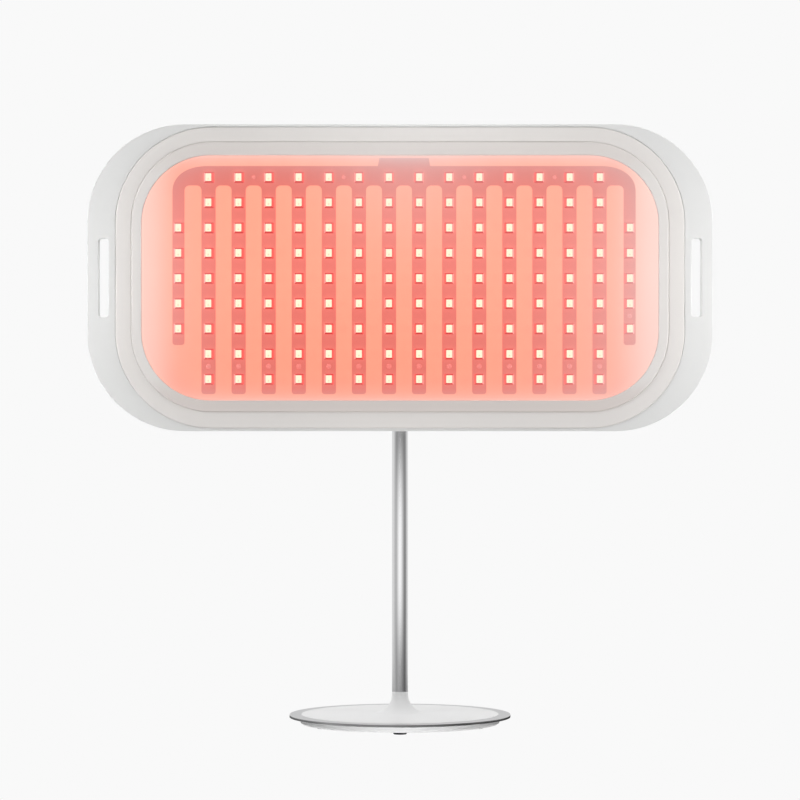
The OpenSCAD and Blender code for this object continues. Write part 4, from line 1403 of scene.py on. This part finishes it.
    def build_window(self) -> None:
        """Builds the clear window, with its raised face and the edge under the lip."""
        back, front = depths("window")
        sheet = outline_of("window", self.opening.radius + WINDOW_LAP)
        raised = -(sheet.width - self.opening.width) / 2 - self.window_gap
        edge = depths("inner_bezel")[1] - self.lip_t
        chain = [
            (-self.sheet_band, back, 0.0), (0.0, back, self.sheet_round), (0.0, edge, self.sheet_round),
            (raised, edge, self.window_foot), (raised, front, self.window_round),
            (raised - self.window_run, front, 0.0), (raised - self.window_band, front, 0.0),
        ]
        solid = Solid()
        solid.shut(self.slab.rings(solid, sheet, rounded(chain, False, self.window_steps)))
        for face in solid.bm.faces:
            nearest = min(-vert.co.y for vert in face.verts)
            face.material_index = 0 if nearest > front - self.hazy_depth else 1
        centre_z = self.slab.centre_z
        # The hazy face's glow is painted light; the clear back glows faintly the same way.
        finishes = [
            ClearSheet("window_hazy_face_painted_glow", self.haze_painted_glow, self.hazes(), centre_z),
            ClearSheet("window_clear_back", self.haze_painted_glow, (), centre_z, self.clear_roughness),
        ]
        self.add("window_sheet", solid, finishes, "window_clear", "window")

    def hazes(self) -> tuple[Haze, ...]:
        """Lists the window's haze along its four edges and a patch of painted light at the middle of the
        upper one.

        Returns:
            The patches.
        """
        half_w, half_h = self.opening.width / 2, self.opening.height / 2
        return (
            Haze((-half_w, 0.0), (24 * MM, 1.0), 0.36),
            Haze((half_w, 0.0), (40 * MM, 1.0), 0.49),
            Haze((0.0, half_h), (1.0, 5.5 * MM), 0.48),
            Haze((5 * MM, half_h), (55 * MM, 55 * MM), 0.205, 2.0),
            Haze((0.0, -half_h), (1.0, 5 * MM), 0.32),
        )


@dataclass
class Back(Assembly):
    """Back shell, driver pod, dock socket and what they hold."""

    shell_edge: float = 1.2 * MM
    cover_edge: float = 0.6 * MM
    housing_edge: float = 0.5 * MM
    small_edge: float = 0.2 * MM
    fine_edge: float = 0.15 * MM

    def build(self) -> None:
        """Dresses the pieces behind the panel."""
        palette = self.palette
        self.dress("back_shell", palette.shell_white, self.shell_edge)
        self.dress("pod_housing", palette.pod_white, self.housing_edge)
        self.dress("pod_cover", palette.pod_white, self.cover_edge)
        self.dress("dock_socket", palette.head_grey, self.housing_edge)
        self.dress("driver_board", palette.board_green)
        self.dress("driver_chips", palette.chip_black, self.fine_edge)
        self.dress("ribbon_connector", palette.connector_ivory, self.fine_edge)
        self.dress("ribbon_tail", palette.ribbon_amber)
        self.dress("switch_body", palette.chip_black, self.small_edge)
        self.dress("power_socket", palette.socket_steel)
        self.dress("status_light", palette.status_green, self.small_edge)
        for screws in ("pod_screws", "pod_floor_screws", "shell_screws", "dock_screws"):
            self.dress(screws, palette.screw_steel, self.fine_edge)


@dataclass
class Button(Assembly):
    """Power button."""

    edge: float = 0.5 * MM

    def build(self) -> None:
        """Dresses the button."""
        self.dress("power_button", self.palette.button_grey, self.edge)


@dataclass
class Head(Assembly):
    """Swivel head on the pole, with its bolt, washers and friction screw."""

    head_edge: float = 0.35 * MM
    grip_edge: float = 0.4 * MM
    bolt_edge: float = 0.3 * MM

    def build(self) -> None:
        """Dresses the head's pieces."""
        palette = self.palette
        self.dress("swivel_head", palette.head_grey, self.head_edge)
        self.dress("swivel_bush", palette.bush_nylon)
        self.dress("friction_screw", palette.knob_dark, self.grip_edge)
        self.dress("tilt_bolt", palette.screw_steel, self.bolt_edge)
        self.dress("tilt_nut", palette.screw_steel, self.bolt_edge)
        self.dress("friction_washers", palette.washer_brass)


@dataclass
class Cradle(Assembly):
    """Dock tongue that the panel slides onto."""

    edge: float = 0.6 * MM

    def build(self) -> None:
        """Dresses the tongue."""
        self.dress("dock_tongue", self.palette.head_grey, self.edge)


@dataclass
class Stand(Assembly):
    """Round base and pole."""

    plate_edge: float = 0.3 * MM
    plate_foot: float = 0.1 * MM
    plate_band: float = 0.9
    cover_t: float = 1 * MM
    cover_edge: float = 0.1 * MM
    cover_flat: float = 30 * MM
    cover_steps: int = 16
    dish_steps: int = 10
    collar_radius: float = 5 * MM
    collar_round: float = 0.1 * MM
    flare_radius: float = 11.5 * MM
    bolt_radius: float = 2.85 * MM
    pole_bore: float = 4 * MM
    pole_edge: float = 0.15 * MM
    tray_floor: float = 1.2 * MM
    tray_wall: float = 2.2 * MM
    tray_foot: float = 1.4 * MM
    tray_rim: float = 0.2 * MM
    tray_cove: float = 0.5 * MM
    well_radius: float = 9.5 * MM
    well_round: float = 0.3 * MM
    foot_count: int = 5
    foot_ring: float = 50 * MM
    foot_radius: float = 4.1 * MM
    foot_round: float = 0.5 * MM
    foot_top: float = 0.3 * MM
    foot_steps: int = 40
    foot_round_steps: int = 4
    peg_radius: float = 1.5 * MM
    peg_round: float = 0.2 * MM
    ring_edge: float = 0.5 * MM
    bolt_edge: float = 0.2 * MM
    screw_edge: float = 0.15 * MM

    def build(self) -> None:
        """Builds and dresses the stand's pieces."""
        self.build_plate()
        self.build_cover()
        self.build_tray()
        self.build_feet()
        self.build_pole()
        palette = self.palette
        self.dress("stop_ring", palette.head_grey, self.ring_edge)
        self.dress("ballast_disc", palette.ballast_iron)
        self.dress("pole_plug", palette.screw_steel)
        self.dress("pole_top_plug", palette.chip_black)
        self.dress("pole_washer", palette.screw_steel)
        self.dress("pole_bolt", palette.screw_steel, self.bolt_edge)
        self.dress("base_screws", palette.screw_steel, self.screw_edge)

    def turned(self, profile: Sequence[Corner], steps: int = 8) -> Solid:
        """Turns a closed profile about the pole's axis.

        Args:
            profile: Its corners, each as radius, height and rounding.
            steps: Straight steps along each rounding.

        Returns:
            The mesh.
        """
        solid = Solid()
        solid.lathe(rounded(profile, True, steps), Matrix.Identity(4), TURNED_STEPS, True)
        return solid

    def build_plate(self) -> None:
        """Builds the steel plate with its rolled rim."""
        low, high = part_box("base_plate")
        reach = min(high.x, high.y)
        profile = [
            (self.bolt_radius, low.z, 0.0), (reach, low.z, self.plate_foot), (reach, high.z, self.plate_edge),
            (self.bolt_radius, high.z, 0.0),
        ]
        solid = self.turned(profile)
        rim_start = reach - self.plate_band * self.plate_edge
        for face in solid.bm.faces:
            face.material_index = int(face.calc_center_median().xy.length > rim_start)
        finishes = [self.palette.ring_steel, self.palette.edge_steel]
        self.add("base_plate_disc", solid, finishes, "plate_steel", "base_plate")

    def build_cover(self) -> None:
        """Builds the white cover that flares up into the collar."""
        low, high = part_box("base_cover")
        face = low.z + self.cover_t
        collar = self.collar_radius
        dish = []
        for step in range(self.dish_steps):
            share = 1 - step / self.dish_steps
            drop = (self.cover_t - self.cover_edge) * share * share
            dish.append((self.cover_flat + (high.x - self.cover_flat) * share, face - drop, 0.0))
        profile = [
            (self.bolt_radius, low.z, 0.0), (high.x, low.z, 0.0), *dish, (self.cover_flat, face, 0.0),
            (collar, face, self.flare_radius), (collar, high.z, self.collar_round),
            (self.bolt_radius, high.z, 0.0),
        ]
        solid = self.turned(profile, self.cover_steps)
        self.add("base_cover_dish", solid, [self.palette.cover_white], "base_white", "base_cover")

    def build_tray(self) -> None:
        """Builds the white tray under the plate."""
        low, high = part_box("base_tray")
        floor = low.z + self.tray_floor
        bore = high.x - self.tray_wall
        profile = [
            (self.well_radius, low.z, self.well_round), (high.x, low.z, self.tray_foot),
            (high.x, high.z, self.tray_rim), (bore, high.z, 0.0), (bore, floor, self.tray_cove),
            (self.well_radius, floor, 0.0),
        ]
        self.add("base_tray_bowl", self.turned(profile), [self.palette.base_white], "base_white", "base_tray")

    def build_feet(self) -> None:
        """Builds the rubber feet, one of them in front."""
        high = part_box("rubber_feet")[1].z
        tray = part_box("base_tray")[0].z
        radius, peg = self.foot_radius, self.peg_radius
        chain = [
            (0.0, 0.0, 0.0), (radius, 0.0, self.foot_round), (radius, tray, self.foot_top),
            (peg, tray, 0.0), (peg, high, self.peg_round), (0.0, high, 0.0),
        ]
        profile = rounded(chain, False, self.foot_round_steps)
        solid = Solid()
        for index in range(self.foot_count):
            turn = 2 * math.pi * index / self.foot_count - math.pi / 2
            where = Vector((self.foot_ring * math.cos(turn), self.foot_ring * math.sin(turn), 0.0))
            solid.lathe(profile, Matrix.Translation(where), self.foot_steps)
        self.add("rubber_foot_set", solid, [self.palette.foot_rubber], "foot_rubber", "rubber_feet")

    def build_pole(self) -> None:
        """Builds the satin steel tube."""
        low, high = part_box("pole")
        bore, edge = self.pole_bore, self.pole_edge
        profile = [(bore, low.z, 0.0), (high.x, low.z, edge), (high.x, high.z, edge), (bore, high.z, 0.0)]
        self.add("pole_tube", self.turned(profile), [self.palette.pole_steel], "pole_steel", "pole")


@dataclass(frozen=True)
class Lamp:
    """A soft rectangular light that only lights: neither the eye nor the steel sees it."""

    name: str
    place: Corner
    aim: Corner
    size: Point
    power: float
    spread: float = 180.0

    def build(self) -> None:
        """Builds the light."""
        data = bpy.data.lights.new(self.name, "AREA")
        data.shape = "RECTANGLE"
        data.size, data.size_y = self.size
        data.energy = self.power
        data.spread = math.radians(self.spread)
        light = bpy.data.objects.new(self.name, data)
        light.location = self.place
        light.rotation_mode = "QUATERNION"
        light.rotation_quaternion = (Vector(self.aim) - Vector(self.place)).to_track_quat("-Z", "Y")
        light.visible_camera = False
        light.visible_glossy = False
        bpy.context.scene.collection.objects.link(light)


@dataclass(frozen=True)
class Surroundings:
    """What is all around: plain paper to the eye, soft light, and dark flags for the steel to mirror.

    A pair of numbers is where a change starts and ends, as a share of the way along one axis.
    """

    zenith: float = 1.0
    nadir: float = 0.42
    horizon: Point = (-0.01, 0.01)
    box_power: float = 3.0
    rear: float = 0.75
    fill: float = 0.12
    sides: Point = (-0.6, 0.6)
    left_flag: float = 0.23
    right_flag: Point = (0.1, 0.22)
    right_rise: Point = (-0.065, -0.035)
    deep_rise: Point = (-0.26, -0.16)
    deep_glow: float = 0.2
    swing: float = 0.2
    behind: Point = (-0.65, 0.55)
    above: Point = (0.12, 0.5)
    open_glow: float = 0.8
    foot_left: float = 0.16
    foot_depth: Point = (-0.6, 0.3)
    foot_rise: Point = (-0.097, -0.083)
    sheet_glow: float = 0.44
    sheet_depth: Point = (-0.95, -0.3)
    sheet_rise: Point = (-0.12, -0.09)

    def build(self) -> None:
        """Builds the surroundings."""
        world = bpy.data.worlds.new("studio")
        bpy.context.scene.world = world
        world.use_nodes = True
        world.cycles.sampling_method = "NONE"
        graph = Graph(world.node_tree)
        path = graph.node("ShaderNodeLightPath").outputs
        axes = graph.split(graph.node("ShaderNodeTexCoord").outputs["Generated"])
        lit = graph.blend(path["Is Glossy Ray"], self.soft(graph, axes), self.mirrored(graph, axes))
        shown = graph.blend(path["Is Camera Ray"], lit, PAPER)
        background = graph.node("ShaderNodeBackground", {"Color": shown})
        graph.node("ShaderNodeOutputWorld", {"Surface": background.outputs[0]})

    def soft(self, graph: Graph, axes: Sequence[Socket]) -> Socket:
        """Draws the light that falls on dull surfaces.

        Args:
            graph: The world's node tree.
            axes: The direction's x, y and z.

        Returns:
            The light's strength.
        """
        _, y, z = axes
        half = graph.span(z, self.horizon, (self.nadir, self.zenith))
        boxes = graph.times(graph.math("POWER", graph.size(z), self.box_power), half)
        rear = graph.times(graph.greatest(y, 0.0), self.rear)
        return graph.plus(boxes, rear, self.fill)

    def mirrored(self, graph: Graph, axes: Sequence[Socket]) -> Socket:
        """Draws what the steel mirrors: flags at both sides, a dark band at the foot, and a sheet in front.

        Args:
            graph: The world's node tree.
            axes: The direction's x, y and z.

        Returns:
            The mirrored strength.
        """
        x, y, z = axes
        right = graph.ease(x, self.sides)
        deep = graph.ease(z, self.deep_rise, (self.deep_glow, 0.0))
        right_flag = graph.plus(graph.ease(z, self.right_rise, self.right_flag), deep)
        flag = graph.plus(graph.times(right, graph.minus(right_flag, self.left_flag)), self.left_flag)
        swung = graph.minus(y, graph.times(x, self.swing))
        clear = graph.greatest(graph.ease(swung, self.behind), graph.ease(z, self.above))
        wall = graph.plus(flag, graph.times(clear, graph.minus(self.open_glow, flag)))
        low = graph.minus(self.foot_left, graph.times(right, self.foot_left))
        band = graph.times(graph.ease(z, self.foot_rise, FALLING), graph.ease(z, self.deep_rise))
        shade = graph.times(graph.ease(y, self.foot_depth), band, graph.minus(1.0, low))
        ahead = graph.ease(y, self.sheet_depth, (self.sheet_glow, 0.0))
        sheet = graph.times(ahead, graph.ease(z, self.sheet_rise, FALLING))
        return graph.plus(graph.times(wall, graph.minus(1.0, shade)), sheet)


def set_stage(solid: Solid, name: str, material: bpy.types.Material, hidden_from: Sequence[str]) -> None:
    """Puts a piece of the studio into the scene.

    Args:
        solid: Its finished mesh.
        name: Its name.
        material: Its material.
        hidden_from: The kinds of rays that don't see it.
    """
    piece = solid.to_object(name)
    piece.data.materials.append(material)
    for kind in hidden_from:
        setattr(piece, f"visible_{kind}", False)


@dataclass(frozen=True)
class Floor:
    """The pale floor, as evenly bright as the paper behind."""

    half: float = 8.0

    def build(self) -> None:
        """Builds the floor."""
        half = self.half
        corners = [(-half, -half), (half, -half), (half, half), (-half, half)]
        solid = Solid()
        solid.bm.faces.new(solid.ring([Vector((x, y, 0.0)) for x, y in corners]))
        material, graph = new_material("paper_floor")
        glow = graph.node("ShaderNodeEmission", {"Color": PAPER})
        graph.node("ShaderNodeOutputMaterial", {"Surface": glow.outputs[0]})
        set_stage(solid, "floor", material, ("diffuse", "glossy", "transmission", "shadow"))


@dataclass(frozen=True)
class Card:
    """A curved card in front, bright in its middle, which only the steel mirrors."""

    radius: float = 0.8
    centre: float = 0.071
    height: float = 0.34
    half_arc: int = 85
    arc_step: int = 5
    glow: float = 0.95
    turn: float = 0.82
    turn_power: float = 2.0
    rise: float = 0.081
    rise_power: float = 4.0

    def build(self) -> None:
        """Builds the card."""
        turns = [math.radians(part) for part in range(-self.half_arc, self.half_arc + 1, self.arc_step)]
        arc = [(self.radius * math.sin(turn), -self.radius * math.cos(turn)) for turn in turns]
        levels = (self.centre - self.height / 2, self.centre + self.height / 2)
        solid = Solid()
        low, high = [solid.ring([Vector((x, y, level)) for x, y in arc]) for level in levels]
        for i in range(len(arc) - 1):
            solid.bm.faces.new((low[i], low[i + 1], high[i + 1], high[i]))
        set_stage(solid, "mirrored_card", self.material(), ("camera", "diffuse", "transmission", "shadow"))

    def material(self) -> bpy.types.Material:
        """Draws the card's glow, which is clear where it is dark.

        Returns:
            The material.
        """
        material, graph = new_material("card_glow")
        x, y, z = graph.split(graph.place())
        turn = graph.math("ARCTAN2", x, graph.times(y, -1.0))
        around = graph.away(turn, self.turn, self.turn_power)
        upright = graph.away(graph.minus(z, self.centre), self.rise, self.rise_power)
        strength = graph.times(graph.hill(around, upright), self.glow)
        glow = graph.node("ShaderNodeEmission", {"Strength": strength}).outputs[0]
        clear = graph.node("ShaderNodeBsdfTransparent").outputs[0]
        both = graph.node("ShaderNodeAddShader", {0: glow, 1: clear}).outputs[0]
        graph.node("ShaderNodeOutputMaterial", {"Surface": both})
        return material


@dataclass
class Studio:
    """Camera, lights, floor and surroundings."""

    distance: float = 2.042
    eye_height: float = 0.2037
    focal_px: float = 3268.0
    image_px: float = 800.0
    sensor_mm: float = 36.0
    clip: Point = (0.05, 100.0)
    lamps: tuple[Lamp, ...] = (
        Lamp("near_left", (-0.5, -0.22, 0.27), (-0.17, -0.03, 0.28), (0.1, 0.16), 0.365, 90),
        Lamp("near_right", (0.5, -0.22, 0.27), (0.17, -0.03, 0.28), (0.1, 0.16), 0.435, 90),
        Lamp("top_near", (0.01, -0.16, 0.43), (0.01, -0.03, 0.36), (0.12, 0.08), 0.074),
        Lamp("bottom_near", (0.0, -0.12, 0.13), (0.0, -0.03, 0.19), (0.08, 0.05), 0.01),
        Lamp("under_near", (0.0, -0.05, 0.06), (0.0, -0.04, 0.185), (0.3, 0.02), 0.036, 120),
        Lamp("front_key", (-0.9, -1.1, 0.8), (0.0, -0.03, 0.25), (0.5, 0.5), 2.7),
        Lamp("bounce_front", (0.0, -0.2, -0.06), (0.0, 0.0, 0.0), (0.2, 0.06), 0.092, 100),
        Lamp("rear_key", (-0.7, 0.8, 0.75), (0.0, 0.0, 0.25), (0.5, 0.5), 2.0),
    )

    def build(self) -> None:
        """Builds the whole studio."""
        self.build_camera()
        for piece in (Surroundings(), Floor(), *self.lamps, Card()):
            piece.build()
        view = bpy.context.scene.view_settings
        view.view_transform = "Standard"
        view.look = "None"

    def build_camera(self) -> None:
        """Builds the camera at the photograph's place, level and straight ahead."""
        data = bpy.data.cameras.new("camera")
        data.sensor_width = self.sensor_mm
        data.lens = self.focal_px / self.image_px * self.sensor_mm
        data.clip_start, data.clip_end = self.clip
        camera = bpy.data.objects.new("camera", data)
        camera.location = (0.0, -self.distance, self.eye_height)
        camera.rotation_euler = (math.pi / 2, 0.0, 0.0)
        bpy.context.scene.collection.objects.link(camera)
        bpy.context.scene.camera = camera
        LOG.info("camera at %.3f m, lens %.1f mm", self.distance, data.lens)


def main() -> None:
    """Loads the frame and builds the studio and every sub-assembly around it."""
    logging.basicConfig(level=logging.INFO, format="%(name)s: %(message)s")
    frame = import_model()
    low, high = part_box("strap_flange")
    slab = Slab((low.z + high.z) / 2)
    opening = outline_of("window", WINDOW_RADIUS).grown(-WINDOW_LAP)
    palette = Palette()
    assemblies: list[Assembly] = [
        Front(frame, "panel", palette, slab, opening),
        LightBox(frame, "panel", palette, slab, opening),
        Back(frame, "panel", palette),
        Button(frame, "button", palette),
        Cradle(frame, "cradle", palette),
        Head(frame, "head", palette),
        Stand(frame, "stand", palette),
    ]
    Studio().build()
    for assembly in assemblies:
        assembly.build()


if __name__ == "__main__":
    main()
